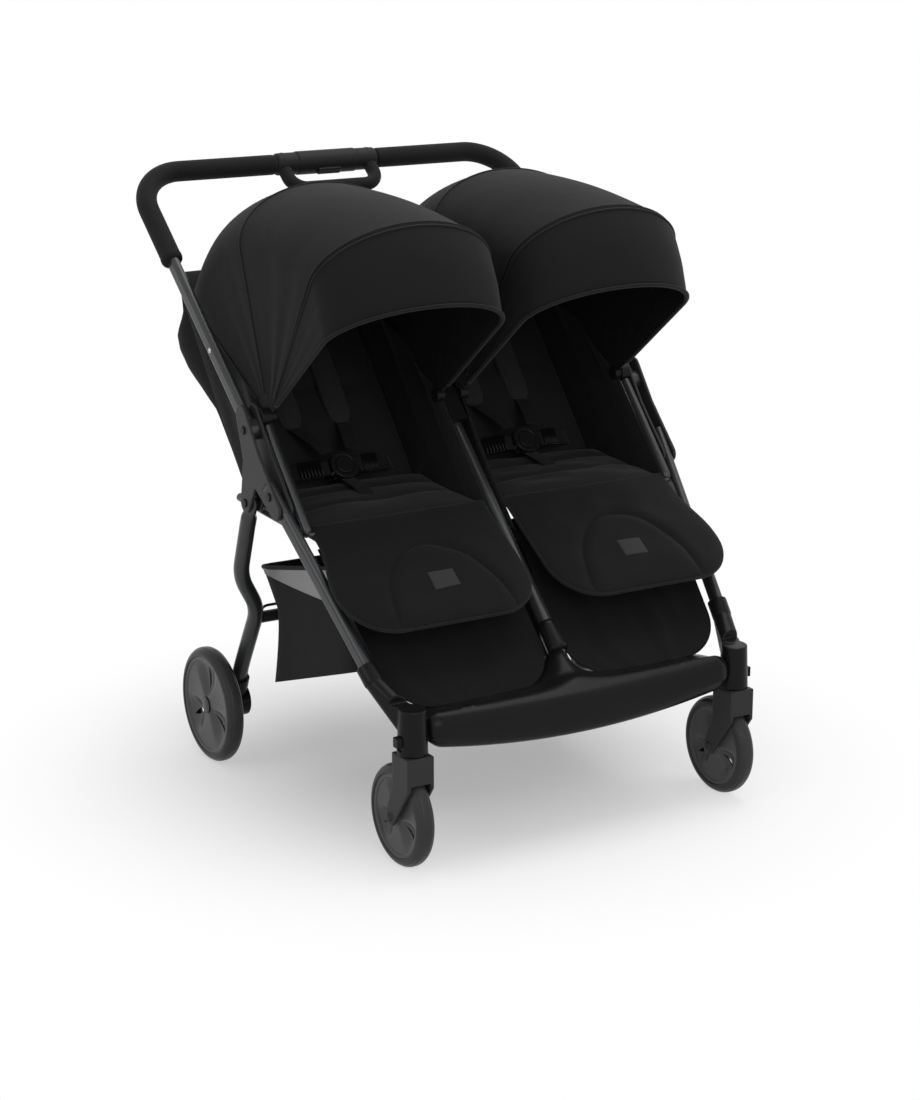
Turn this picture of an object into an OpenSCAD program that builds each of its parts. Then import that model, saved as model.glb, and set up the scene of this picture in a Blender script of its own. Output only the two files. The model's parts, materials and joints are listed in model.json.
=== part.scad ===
// Side by side double stroller: two padded seats with folding hoods on one
// tubular frame, a hinged push bar, hinged rear legs, four wheels and a basket.
// Millimetres. +Z is up, the front faces -Y, the origin is on the floor under
// the middle of the stroller.

/* [Overall] */
// Length from the front of the front tyres to the back of the push bar
overall_length = 891; // [860:1:930]
// Height from the floor to the top of the push bar's hub
overall_height = 993; // [960:1:1030]
// Distance between the front and rear axles
wheelbase = 563; // [545:1:590]
// Distance between the middles of the front tyres
front_track = 600; // [590:1:608]
// Distance between the middles of the rear tyres
rear_track = 700; // [690:1:710]
// Distance between the middles of the two push tubes
push_track = 728; // [722:1:744]

/* [Wheels] */
// Diameter of the front tyres
front_wheel_d = 162; // [150:1:172]
// Diameter of the rear tyres
rear_wheel_d = 197; // [185:1:206]
// Width of every tyre
tyre_w = 30; // [28:1:34]
// Height of the tyre rubber above its rim
tyre_h = 15; // [14:1:19]
// Rounding of the tyre shoulders
tyre_round = 13; // [6:1:13]
// Width of the hollow rim ring
rim_w = 24; // [20:1:26]
// Thickness of the rim ring
rim_wall = 9; // [6:1:11]
// Number of spokes in each rim
spokes = 3; // [3:1:5]
// Width of one spoke
spoke_w = 26; // [20:1:30]
// Diameter of the front axle bolts
front_axle_d = 8; // [6:1:10]
// Diameter of the rear stub axles
rear_axle_d = 12; // [10:1:14]

/* [Casters] */
// How far the front wheels trail behind their swivel axes
caster_trail = 32; // [26:1:38]
// Room from the top of the front tyre to the swivel gap
fork_headroom = 28; // [24:1:36]
// Diameter of the swivel socket
socket_d = 48; // [44:1:54]
// Height of the swivel socket
socket_h = 72; // [66:1:80]
// Diameter of the swivel pin
swivel_pin_d = 14; // [12:1:16]
// Thickness of one fork blade
blade_t = 6; // [5:1:8]

/* [Frame] */
// Height of the push bar's fold axis
fold_z = 618; // [608:1:626]
// Place of the fold axis along the stroller
fold_y = -2; // [-8:1:4]
// Thickness of the flat oval side tubes
tube_t = 16; // [14:1:17]
// Width of the flat oval side tubes
tube_w = 27; // [24:1:30]
// Diameter of the rear legs
leg_d = 26; // [22:1:28]
// Diameter of the middle tube and the cross tube
mid_tube_d = 24; // [20:1:26]
// Thickness of one side bracket plate
plate_t = 5; // [4:1:6]
// Diameter of the fold pins
pin_d = 10; // [8:1:12]
// Diameter of the seat rails
rail_d = 14; // [12:1:15]

/* [Push bar] */
// Diameter of the bar under the foam
bar_d = 24; // [22:1:26]
// Diameter of the foam grips
grip_d = 35; // [32:1:38]
// Radius of the two corners of the bar
corner_r = 84; // [76:1:100]
// Length of foam on each push tube below the corner
grip_drop = 116; // [90:1:140]
// Length of the middle hub
hub_l = 196; // [180:1:210]
// Diameter of the middle hub
hub_d = 41; // [40:1:44]
// Diameter of the grab loop's tube
loop_d = 24; // [20:1:26]
// Distance between the legs of the grab loop
loop_w = 168; // [156:1:172]
// Straight length of the grab loop's legs
loop_leg = 11; // [6:1:20]
// Bend of the grab loop's corners, on the tube's middle line
loop_corner_r = 28; // [24:1:34]

/* [Seats] */
// Height of the seat's front edge
seat_z = 491; // [484:1:498]
// Place of the seat's front edge along the stroller
seat_front_y = -162; // [-168:1:-156]
// Depth of the seat pads
seat_depth = 236; // [225:1:245]
// Thickness of the seat pads
seat_t = 34; // [28:1:38]
// Gap between the two seats
seat_gap = 40; // [38:1:48]
// Room between the backrests' top and the grab loop
loop_clear = 101; // [96:1:125]
// Thickness of the backrests
back_t = 40; // [32:1:44]
// Lean of the backrests from level
back_angle = 50; // [46:1:54]
// Length of the leg rests
rest_len = 230; // [210:1:240]
// Thickness of the leg rests
rest_t = 28; // [22:1:30]
// How much flatter than the front tubes the leg rests hang
rest_angle = 13; // [9:0.5:17]
// Rounding of the leg rests' front corners
rest_round = 78; // [60:1:90]
// Flare of the leg rests on their outer side
rest_flare = 21; // [16:1:26]

/* [Hoods] */
// Reach of the hood's front edge from its pivot
hood_front_r = 321; // [310:1:335]
// Reach of the hood's middle bow from its pivot
hood_mid_r = 377; // [365:1:385]
// Reach of the hood's rear bow from its pivot
hood_rear_r = 364; // [350:1:372]
// Reach of the hood's back hem from its pivot
hood_hem_r = 398; // [390:1:404]
// Thickness of the hood cloth with its lining
cloth_t = 3; // [2:0.5:4]
// Outward swell of the hood panels between bows
hood_swell = 9; // [4:1:12]
// Outward swell of the hood's back panel
hood_rear_swell = 33; // [22:1:36]

/* [Basket] */
// Thickness of the basket's cloth and stiffeners
basket_t = 4; // [3:1:6]
// Depth of the basket at its front
basket_depth = 150; // [130:1:165]

/* [Fits] */
// Running clearance on pins and axles
run_fit = 0.05; // [0.02:0.01:0.09]
// Clearance between parts that pass each other
pass_fit = 0.4; // [0.3:0.1:0.8]
// Clearance of a part seated in its socket
seat_fit = 0.05; // [0.02:0.01:0.1]

/* [Hidden] */
$fn = 48;
hull_fn = 32;
overrun = 1;

// Places of the axles, the push bar and the side tubes
front_axle_y = -overall_length / 2 + front_wheel_d / 2;
front_axle_z = front_wheel_d / 2;
rear_axle_y = front_axle_y + wheelbase;
rear_axle_z = rear_wheel_d / 2;
front_x = front_track / 2;
rear_x = rear_track / 2;
push_x = push_track / 2;
handle_y = overall_length / 2 - hub_d / 2;
handle_z = overall_height - hub_d / 2;
push_angle = atan2(handle_z - fold_z, handle_y - fold_y);
push_len = norm([handle_y - fold_y, handle_z - fold_z]);
caster_y = front_axle_y - caster_trail;
swivel_z = front_wheel_d + fork_headroom;
socket_top_z = swivel_z + socket_h;

// Side tubes, middle tube and rear legs: corner points as [x, y, z]
front_top_drop = 108;
front_top_ahead = 103;
front_top = [push_x, fold_y - front_top_ahead, fold_z - front_top_drop];
tube_end_out = 26;
tube_end_back = 68;
tube_end_up = 24;
front_low = [front_x + tube_end_out, caster_y + tube_end_back, socket_top_z + tube_end_up];
front_dir = (front_top - front_low) / norm(front_top - front_low);
front_slope = atan2(front_dir.z, front_dir.y);
front_insert = 46;
mid_low_back = 77;
mid_low_up = 37;
mid_low = [0, caster_y + mid_low_back, socket_top_z + mid_low_up];
mid_top_back = 7;
mid_top_drop = 10;
mid_top = [0, fold_y + mid_top_back, fold_z - mid_top_drop];
leg_pin_drop = 118;
leg_pin = [push_x, fold_y, fold_z - leg_pin_drop];
knee_back = 73;
knee_drop = 142;
knee_in = 10;
jog_back = 102;
jog_drop = 212;
leg_in = 41;
heel_ahead = 27;
heel_up = 64;
leg_x = rear_x - leg_in;
leg_knee = leg_pin + [-knee_in, knee_back, -knee_drop];
leg_jog = [leg_x, leg_pin.y + jog_back, leg_pin.z - jog_drop];
leg_heel = [leg_x, rear_axle_y - heel_ahead, rear_axle_z + heel_up];
leg_foot = [leg_x, rear_axle_y, rear_axle_z];

// Planes of the side bracket: two plates with the tubes between them
plate_gap_half = tube_t / 2;
plate_in_x = push_x - plate_gap_half - plate_t;
plate_out_x = push_x + plate_gap_half;
rail_gap = 3;
rail_x = plate_in_x - rail_gap - rail_d / 2;

// Seats and hoods
pivot_back = -3;
pivot_up = 18;
pivot = [0, fold_y + pivot_back, fold_z + pivot_up];
hinge_d = 30;
hood_clear = 1;
seat_in = seat_gap / 2;
seat_out = rail_x - rail_d / 2 - hood_clear;
seat_c = (seat_in + seat_out) / 2;
seat_half = (seat_out - seat_in) / 2;
bow_front_a = 141.7;
bow_mid_a = 122.6;
bow_rear_a = 70.9;
bow_hem_a = 27;
arch_leg_share = 0.72;
arch_turn_share = 0.25;

// Colours as photographed
cloth_c = "#2b2b2d";
foam_c = "#232324";
metal_c = "#4a4b4e";
plastic_c = "#1f2022";
rubber_c = "#333336";
rim_c = "#2a2a2c";

// Shared shapes

// A straight round rod from p to q
module rod(p, q, d) {
  v = q - p;
  translate(p)
    rotate([0, acos(v.z / norm(v)), atan2(v.y, v.x)])
      cylinder(h = norm(v), d = d);
}

// Turns the Z axis onto the direction from p to q, with X kept level
module along(p, q) {
  v = q - p;
  flat = norm([v.y, v.z]);
  translate(p)
    rotate([atan2(v.z, v.y) - 90, 0, 0])
      rotate([0, atan2(v.x, flat), 0])
        children();
}

// A flat oval outline, t across X and w across Y
module oval(t, w) {
  square([t, w - t], center = true);
  for (s = [-1, 1]) translate([0, s * (w - t) / 2]) circle(d = t);
}

// A straight flat oval tube from p to q
module oval_tube(p, q, t, w) {
  along(p, q) linear_extrude(norm(q - p)) oval(t, w);
}

// Puts a left hand piece, drawn at +X, on the left (-X) side
module left() { mirror([1, 0, 0]) children(); }

// A round bar along X at [y, z] from x0 to x1
module bar_x(y, z, x0, x1, d) {
  translate([x0, y, z]) rotate([0, 90, 0]) cylinder(h = x1 - x0, d = d);
}

// Closed skin of two grids of points, outer and inner, each of nu+1 rows of nv+1
function cell(a, b, c, d) = [[a, c, b], [a, d, c]];
function skin_faces(nu, nv) =
  let (w = nv + 1, k = (nu + 1) * w)
  [
    for (i = [0 : nu - 1], j = [0 : nv - 1])
      each cell(i * w + j, (i + 1) * w + j, (i + 1) * w + j + 1, i * w + j + 1),
    for (i = [0 : nu - 1], j = [0 : nv - 1])
      each cell(k + i * w + j, k + i * w + j + 1, k + (i + 1) * w + j + 1, k + (i + 1) * w + j),
    for (i = [0 : nu - 1])
      each cell((i + 1) * w, i * w, k + i * w, k + (i + 1) * w),
    for (i = [0 : nu - 1])
      each cell(i * w + nv, (i + 1) * w + nv, k + (i + 1) * w + nv, k + i * w + nv),
    for (j = [0 : nv - 1])
      each cell(j, j + 1, k + j + 1, k + j),
    for (j = [0 : nv - 1])
      each cell(nu * w + j + 1, nu * w + j, k + nu * w + j, k + nu * w + j + 1)
  ];
module skin(outer, inner, nu, nv) {
  polyhedron(points = concat(outer, inner), faces = skin_faces(nu, nv), convexity = 4);
}

// A tube of polygon rings swept through a list of rings of m points
function ring_faces(n, m) = concat(
  [for (i = [0 : n - 2], j = [0 : m - 1])
    each cell(i * m + j, i * m + (j + 1) % m, (i + 1) * m + (j + 1) % m, (i + 1) * m + j)],
  [for (j = [1 : m - 2]) [0, j, j + 1]],
  [for (j = [1 : m - 2]) [(n - 1) * m, (n - 1) * m + j + 1, (n - 1) * m + j]]
);

// A round tube through a list of points; ref is a direction the tube never takes
function unit(v) = v / norm(v);
function path_dir(p, i) = unit(p[min(i + 1, len(p) - 1)] - p[max(i - 1, 0)]);
module swept_oval(p, a, b, m, ref) {
  rings = [
    for (i = [0 : len(p) - 1])
      let (t = path_dir(p, i), u = unit(cross(ref, t)), w = cross(t, u))
      each [for (j = [0 : m - 1]) p[i] + a[i] * cos(360 * j / m) * u + b[i] * sin(360 * j / m) * w]
  ];
  polyhedron(points = rings, faces = ring_faces(len(p), m), convexity = 6);
}
module swept_tube(p, d, m, ref) {
  half = [for (q = p) d / 2];
  swept_oval(p, half, half, m, ref);
}
// The same points with each inner corner turned into a curve that starts c before it
bend_n = 6;
function round_path(p, c) = [
  p[0],
  for (i = [1 : len(p) - 2])
    let (a = p[i] + unit(p[i - 1] - p[i]) * c, b = p[i] + unit(p[i + 1] - p[i]) * c)
    each [for (k = [0 : bend_n])
      let (t = k / bend_n) a * pow(1 - t, 2) + p[i] * 2 * t * (1 - t) + b * t * t],
  p[len(p) - 1]
];

// Casters and front crossbar

wheel_gap = 2;
blade_in = tyre_w / 2 + wheel_gap;
arch_gap = 6;
crown_top_z = swivel_z - pass_fit;
crown_front = 26;
crown_skirt = 52;
crown_back = 24;
boss_d = 28;
bolt_head_d = 15;
bolt_head_t = 4;
swivel_pin_l = 48;
socket_taper = 3;
cap_slant = 4;
arm_d = 30;
arm_up = 26;
arm_h = 34;
collar_d = 32;
collar_l = 30;
lock_w = 14;
lock_h = 16;
lock_out = 6;
lock_in = 5;
lock_up = 14;
lock_travel = 6;

// The tab that slides down to hold the swivel straight
module lock_block(grow, drop) {
  translate([front_x + socket_d / 2 - lock_in - grow, caster_y - lock_w / 2 - grow,
             swivel_z + lock_up - drop - grow])
    cube([lock_in + lock_out + grow, lock_w + 2 * grow, lock_h + drop + 2 * grow]);
}

module caster_socket() {
  difference() {
    union() {
      translate([front_x, caster_y, swivel_z])
        cylinder(h = socket_h, d1 = socket_d, d2 = socket_d - 2 * socket_taper);
      hull() {
        translate([front_x, caster_y, swivel_z + arm_up])
          cylinder(h = arm_h, d = arm_d, $fn = hull_fn);
        along(front_low, front_top) translate([0, 0, 2 * overrun])
          cylinder(h = overrun, d = collar_d - 2 * overrun, $fn = hull_fn);
      }
      along(front_low, front_top) cylinder(h = collar_l, d = collar_d);
    }
    translate([front_x, caster_y, swivel_z - overrun])
      cylinder(h = swivel_pin_l + 2 * overrun, d = swivel_pin_d + 2 * run_fit);
    oval_tube(front_low, front_top, tube_t + 2 * seat_fit, tube_w + 2 * seat_fit);
    translate([front_x, caster_y, socket_top_z])
      rotate([cap_slant, 0, 0])
        translate([0, 0, socket_d / 2])
          cube([socket_d + socket_taper, socket_d + socket_taper, socket_d], center = true);
    lock_block(pass_fit, lock_travel);
  }
}

module caster_fork() {
  reach = blade_in + blade_t;
  skirt_z = crown_top_z - crown_skirt;
  difference() {
    union() {
      translate([front_x - reach, caster_y - crown_front, skirt_z])
        cube([2 * reach, crown_front + crown_back, crown_top_z - skirt_z]);
      for (x0 = [front_x - reach, front_x + blade_in])
        hull() {
          translate([x0, caster_y - crown_front, skirt_z])
            cube([blade_t, crown_front + crown_back, overrun]);
          bar_x(front_axle_y, front_axle_z, x0, x0 + blade_t, boss_d, $fn = hull_fn);
        }
    }
    bar_x(front_axle_y, front_axle_z, front_x - blade_in, front_x + blade_in,
          front_wheel_d + 2 * arch_gap);
  }
  translate([front_x, caster_y, crown_top_z - overrun])
    cylinder(h = swivel_pin_l + overrun, d = swivel_pin_d);
  bar_x(front_axle_y, front_axle_z, front_x - reach - bolt_head_t,
        front_x + reach + bolt_head_t, front_axle_d);
  for (x0 = [front_x - reach - bolt_head_t, front_x + reach])
    bar_x(front_axle_y, front_axle_z, x0, x0 + bolt_head_t, bolt_head_d);
}

// Crossbar: a bowed beam, deeper and lower in the middle than at its ends
beam_top = 60;
beam_sag = 18;
beam_end_up = 8;
beam_half_mid = 34;
beam_half_end = 20;
beam_forward = 4;
beam_round_share = 0.6;
beam_n = 22;
beam_m = 16;
shelf_drop = 10;
shelf_t = 6;
shelf_back = 70;
shelf_in = 60;
shelf_r = 18;
function pow_sign(v, k) = sign(v) * pow(abs(v), k);
function beam_ring(t) =
  let (x = t * front_x,
       half = beam_half_end + (beam_half_mid - beam_half_end) * (1 - t * t),
       top = swivel_z + beam_top,
       low = swivel_z - beam_sag + (beam_sag + beam_end_up) * t * t,
       yc = caster_y + beam_forward - (beam_half_mid - half) / 2)
  [for (j = [0 : beam_m - 1])
    let (a = 360 * j / beam_m)
    [x, yc + half * pow_sign(cos(a), beam_round_share),
     (top + low) / 2 + (top - low) / 2 * pow_sign(sin(a), beam_round_share)]];
module front_crossbar() {
  color(plastic_c)
    difference() {
      union() {
        polyhedron(points = [for (i = [0 : beam_n]) each beam_ring(2 * i / beam_n - 1)],
                   faces = ring_faces(beam_n + 1, beam_m), convexity = 4);
        hull() {
          translate([0, caster_y + beam_forward, swivel_z])
            cylinder(h = beam_top - beam_end_up, d = 2 * collar_d, $fn = hull_fn);
          along(mid_low, mid_top) translate([0, 0, 2 * overrun])
            cylinder(h = overrun, d = collar_d - 2 * overrun, $fn = hull_fn);
        }
        along(mid_low, mid_top) cylinder(h = collar_l, d = collar_d);
        translate([0, caster_y + beam_forward, swivel_z + beam_top - shelf_drop - shelf_t])
          hull()
            for (s = [-1, 1], b = [0, shelf_back - shelf_r])
              translate([s * (front_x - shelf_in), b, 0]) cylinder(h = shelf_t, r = shelf_r, $fn = hull_fn);
      }
      for (s = [-1, 1])
        translate([s * front_x, caster_y, swivel_z - socket_d])
          cylinder(h = 3 * socket_d, d = socket_d + 2 * seat_fit);
      for (s = [-1, 1])
        translate([s * (front_x + socket_d / 2), caster_y, swivel_z])
          cube([socket_d, 2 * socket_d, 3 * socket_d], center = true);
      rod(mid_low, mid_top, mid_tube_d + 2 * seat_fit);
    }
}

// Wheels

hub_wall = 16;
spoke_start_share = 0.6;
hub_web = 14;
cap_t = 4;
cap_lip = 8;
axle_end_in = 6;

module tyre(d) {
  r = d / 2;
  rotate([0, 90, 0])
    rotate_extrude()
      intersection() {
        translate([r - tyre_h, -tyre_w / 2]) square([tyre_h, tyre_w]);
        union() {
          translate([r - tyre_h, -tyre_w / 2]) square([tyre_h - tyre_round, tyre_w]);
          translate([r - tyre_h, tyre_round - tyre_w / 2])
            square([tyre_h, tyre_w - 2 * tyre_round]);
          for (s = [-1, 1])
            translate([r - tyre_round, s * (tyre_w / 2 - tyre_round)]) circle(r = tyre_round);
        }
      }
}

// Rim with its hub bored for the axle; hub runs from x = -hub_l to hub_r
module rim(d, axle_d, hub_left, hub_right) {
  r = d / 2 - tyre_h;
  hub_r = axle_d / 2 + hub_wall;
  rotate([0, 90, 0])
    difference() {
      union() {
        translate([0, 0, -rim_w / 2])
          difference() {
            cylinder(h = rim_w, r = r);
            translate([0, 0, -overrun]) cylinder(h = rim_w + 2 * overrun, r = r - rim_wall);
          }
        translate([0, 0, -hub_left]) cylinder(h = hub_left + hub_right, r = hub_r);
        for (i = [0 : spokes - 1])
          rotate([0, 0, 360 * i / spokes])
            translate([hub_r * spoke_start_share, -spoke_w / 2, -hub_web / 2])
              cube([r - rim_wall / 2 - hub_r * spoke_start_share, spoke_w, hub_web]);
      }
      translate([0, 0, -hub_left - overrun])
        cylinder(h = hub_left + hub_right + 2 * overrun, d = axle_d + 2 * run_fit);
    }
}

module front_wheel_at() { translate([front_x, front_axle_y, front_axle_z]) children(); }
module rear_wheel_at() { translate([rear_x, rear_axle_y, rear_axle_z]) children(); }
module front_rim() {
  half = blade_in - pass_fit;
  front_wheel_at() rim(front_wheel_d, front_axle_d, half, half);
}
module rear_rim() {
  rear_wheel_at()
    rim(rear_wheel_d, rear_axle_d, blade_in - pass_fit, tyre_w / 2 - axle_end_in);
}

// Side frame

plate_top_r = 17;
plate_mid_r = 29;
plate_arm_r = 16;
plate_top_back = 9;
plate_top_up = 22;
plate_mid_ahead = 26;
plate_mid_drop = 46;
arm_end = front_top;
front_end = front_top + front_insert * front_dir;
rivet_d = 8;
rivet_head_d = 14;
rivet_head_t = 2.5;
rivet_in = 26;
rivet_at = front_top + rivet_in * front_dir;
lug_d = 34;
lug_t = tube_t - 2 * pass_fit;

module front_tube() {
  difference() {
    oval_tube(front_low, front_end, tube_t, tube_w);
    bar_x(rivet_at.y, rivet_at.z, push_x - tube_t, push_x + tube_t, rivet_d + 2 * seat_fit);
  }
}

module bracket_plate(x0) {
  difference() {
    translate([x0, 0, 0])
      rotate([90, 0, 90])
        linear_extrude(plate_t) {
          hull() {
            translate([fold_y + plate_top_back, fold_z + plate_top_up])
              circle(r = plate_top_r, $fn = hull_fn);
            translate([fold_y - plate_mid_ahead, fold_z - plate_mid_drop])
              circle(r = plate_mid_r, $fn = hull_fn);
          }
          hull() {
            translate([fold_y - plate_mid_ahead, fold_z - plate_mid_drop])
              circle(r = plate_mid_r, $fn = hull_fn);
            translate([arm_end.y, arm_end.z]) circle(r = plate_arm_r, $fn = hull_fn);
          }
          hull() {
            translate([fold_y - plate_mid_ahead, fold_z - plate_mid_drop])
              circle(r = plate_mid_r, $fn = hull_fn);
            translate([leg_pin.y, leg_pin.z]) circle(r = plate_arm_r, $fn = hull_fn);
          }
        }
    for (p = [[fold_y, fold_z, pin_d], [leg_pin.y, leg_pin.z, pin_d],
              [rivet_at.y, rivet_at.z, rivet_d]])
      bar_x(p.x, p.y, x0 - overrun, x0 + plate_t + overrun, p.z + 2 * seat_fit);
    oval_tube(front_low, front_end + overrun * front_dir, tube_t + 2 * seat_fit,
              tube_w + 2 * seat_fit);
  }
}
module side_bracket() {
  bracket_plate(plate_in_x);
  bracket_plate(plate_out_x);
}

// Pins of the fold axes and the rivets of the side tubes, with their outer heads
module pin_with_head(y, z, d, head) {
  bar_x(y, z, plate_in_x, plate_out_x + plate_t, d);
  bar_x(y, z, plate_out_x + plate_t, plate_out_x + plate_t + rivet_head_t, head);
}
module frame_pins() {
  color(metal_c)
    for (m = [0, 1])
      mirror([m, 0, 0]) {
        pin_with_head(fold_y, fold_z, pin_d, rivet_head_d);
        pin_with_head(leg_pin.y, leg_pin.z, pin_d, rivet_head_d);
        pin_with_head(rivet_at.y, rivet_at.z, rivet_d, rivet_head_d);
      }
}

// Middle tube and its bracket between the seats
mid_bracket_l = 66;
mid_bracket_w = 46;
mid_bracket_t = 30;
mid_bracket_low = 36;
module centre_tube() {
  color(metal_c) rod(mid_low, mid_top, mid_tube_d);
}
module centre_bracket() {
  color(plastic_c)
    difference() {
      along(mid_top, 2 * mid_top - mid_low)
        translate([-mid_bracket_t / 2, -mid_bracket_w / 2, -mid_bracket_low])
          cube([mid_bracket_t, mid_bracket_w, mid_bracket_l]);
      rod(mid_low, mid_top, mid_tube_d + 2 * seat_fit);
    }
}

// Seat rails, from the hood hinge down to the leg rest's hinge and back under
// the seat's edge to the backrest's hinge
hinge_stub_d = 8;
hinge_stub_l = 26;
rest_hinge_in = 12;
rest_hinge_drop = 14;
rest_hinge = [0, seat_front_y + rest_hinge_in, seat_z - rest_hinge_drop];
back_gap = 8;
back_drop = 6;
back_hinge = [0, seat_front_y + seat_depth + back_gap, seat_z - back_drop];
soft_seat = 0.3;
rail_bend = 12;
rail_sides = 16;
module seat_rail() {
  base = unit(back_hinge - rest_hinge);
  route = [pivot, rest_hinge, back_hinge + base * rail_d / 2];
  difference() {
    swept_tube(round_path([for (p = route) p + [rail_x, 0, 0]], rail_bend), rail_d, rail_sides,
               [1, 0, 0]);
    bar_x(pivot.y, pivot.z, rail_x - rail_d, rail_x + rail_d, hinge_d + 2 * seat_fit);
  }
  for (h = [rest_hinge, back_hinge])
    bar_x(h.y, h.z, rail_x - rail_d / 2 - hinge_stub_l, rail_x, hinge_stub_d);
}

// Hood hinges: a round clamp on each rail top and on the middle bracket
hinge_boss_d = 22;
hinge_boss_l = 10;
module hood_hinges() {
  color(plastic_c)
    for (m = [0, 1])
      mirror([m, 0, 0]) {
        bar_x(pivot.y, pivot.z, rail_x - rail_d / 2, plate_in_x, hinge_d);
        bar_x(pivot.y, pivot.z, seat_out - hinge_boss_l, rail_x - rail_d / 2, hinge_boss_d);
        bar_x(pivot.y, pivot.z, mid_bracket_t / 2, seat_in + hinge_boss_l, hinge_boss_d);
      }
}

// Push bar: drawn in a frame at the bar's middle, Z up along the push tubes
module on_handle() {
  translate([0, handle_y, handle_z]) rotate([push_angle - 90, 0, 0]) children();
}
// One quarter bend of a round bar: from +X to +Z round the point [x, 0, z]
module corner(x, z, r, d) {
  translate([x, 0, z]) rotate([90, 0, 0]) rotate_extrude(angle = 90) translate([r, 0]) circle(d = d);
}
module down_bar(x, z0, z1, d) {
  translate([x, 0, z1]) cylinder(h = z0 - z1, d = d);
}
bar_straight = push_x - corner_r;
oval_lap = 12;
module push_bar() {
  color(metal_c)
    on_handle() {
      rotate([0, 90, 0]) cylinder(h = 2 * bar_straight, d = bar_d, center = true);
      for (m = [0, 1])
        mirror([m, 0, 0]) {
          corner(bar_straight, -corner_r, corner_r, bar_d);
          down_bar(push_x, -corner_r, -corner_r - grip_drop + oval_lap, bar_d);
          difference() {
            union() {
              translate([push_x, 0, -push_len])
                linear_extrude(push_len - corner_r - grip_drop + oval_lap) oval(lug_t, tube_w);
              translate([push_x - lug_t / 2, 0, -push_len])
                rotate([0, 90, 0]) cylinder(h = lug_t, d = lug_d);
            }
            translate([push_x - lug_t, 0, -push_len])
              rotate([0, 90, 0]) cylinder(h = 2 * lug_t, d = pin_d + 2 * run_fit);
          }
        }
    }
}
module grip() {
  end_z = -corner_r - grip_drop;
  on_handle()
    difference() {
      union() {
        translate([hub_l / 2, 0, 0]) rotate([0, 90, 0])
          cylinder(h = bar_straight - hub_l / 2, d = grip_d);
        corner(bar_straight, -corner_r, corner_r, grip_d);
        down_bar(push_x, -corner_r, end_z, grip_d);
      }
      translate([hub_l / 2 - overrun, 0, 0]) rotate([0, 90, 0])
        cylinder(h = bar_straight - hub_l / 2 + overrun, d = bar_d + 2 * seat_fit);
      corner(bar_straight, -corner_r, corner_r, bar_d + 2 * seat_fit);
      down_bar(push_x, -corner_r, end_z - overrun, bar_d + 2 * seat_fit);
      translate([push_x, 0, end_z - overrun])
        linear_extrude(oval_lap + overrun + seat_fit)
          oval(lug_t + 2 * seat_fit, tube_w + 2 * seat_fit);
    }
}

// Middle hub with the fold button, and the grab loop under it
button_l = 44;
button_w = 13;
button_out = 4;
button_in = 3;
button_travel = 3;
loop_seat = 3;
module fold_hub() {
  color(plastic_c)
    on_handle()
      difference() {
        rotate([0, 90, 0]) cylinder(h = hub_l, d = hub_d, center = true);
        rotate([0, 90, 0])
          cylinder(h = hub_l + 2 * overrun, d = bar_d + 2 * seat_fit, center = true);
        for (s = [-1, 1])
          down_bar(s * loop_w / 2, -hub_d / 2 + loop_seat, -hub_d, loop_d + 2 * seat_fit);
        translate([-button_l / 2 - pass_fit, -button_w / 2 - pass_fit, -hub_d])
          cube([button_l + 2 * pass_fit, button_w + 2 * pass_fit,
                hub_d / 2 + button_in + button_travel + pass_fit]);
      }
}
module fold_button() {
  color(rim_c)
    on_handle()
      translate([-button_l / 2, -button_w / 2, -hub_d / 2 - button_out])
        cube([button_l, button_w, button_out + button_in]);
}
module grab_loop() {
  low = -hub_d / 2 - loop_leg;
  color(foam_c)
    on_handle() {
      for (m = [0, 1])
        mirror([m, 0, 0]) {
          down_bar(loop_w / 2, -hub_d / 2 + loop_seat, low, loop_d);
          mirror([0, 0, 1]) corner(loop_w / 2 - loop_corner_r, -low, loop_corner_r, loop_d);
        }
      translate([0, 0, low - loop_corner_r]) rotate([0, 90, 0])
        cylinder(h = loop_w - 2 * loop_corner_r, d = loop_d, center = true);
    }
}

// Rear frame

foot_share = 0.24;
cross_share = 0.16;
start_share = 0.19;
leg_start = [push_x, leg_pin.y + knee_back * start_share, leg_pin.z - knee_drop * start_share];
leg_stop = leg_foot + (leg_heel - leg_foot) * foot_share;
cross_at = leg_jog + (leg_heel - leg_jog) * cross_share;
leg_lug_d = 30;
lug_end_shares = [-0.97, -0.8, -0.45, 0];
neck_drop = 19;
leg_bend = 30;
leg_sides = 16;
cross_d = 20;
housing_d = 56;
housing_in = 18;
sleeve_wall = 5;
sleeve_l = 52;

module leg_rods(grow) {
  rod(leg_jog, leg_heel, leg_d + 2 * grow);
  rod(leg_heel, leg_stop, leg_d + 2 * grow);
}
// The leg is one tube, pressed flat at its top round the fold pin
module rear_leg() {
  down = unit([0, knee_back, -knee_drop]);
  lug_at = concat([for (q = lug_end_shares) leg_pin + q * leg_lug_d / 2 * down],
                  [leg_pin + neck_drop * down]);
  lug_half = concat([for (q = lug_end_shares) leg_lug_d / 2 * sqrt(1 - q * q)], [leg_d / 2]);
  tube = round_path([leg_start, leg_knee, leg_jog, leg_heel, leg_stop], leg_bend);
  round_half_d = [for (q = tube) leg_d / 2];
  difference() {
    swept_oval(concat(lug_at, tube), concat(lug_half, round_half_d),
               concat([for (q = lug_at) lug_t / 2], round_half_d), leg_sides, [1, 0, 0]);
    bar_x(leg_pin.y, leg_pin.z, push_x - leg_d, push_x + leg_d, pin_d + 2 * run_fit);
  }
}
module cross_tube() {
  color(metal_c)
    difference() {
      bar_x(cross_at.y, cross_at.z, -leg_x, leg_x, cross_d);
      leg_rods(seat_fit);
      left() leg_rods(seat_fit);
    }
}
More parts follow.
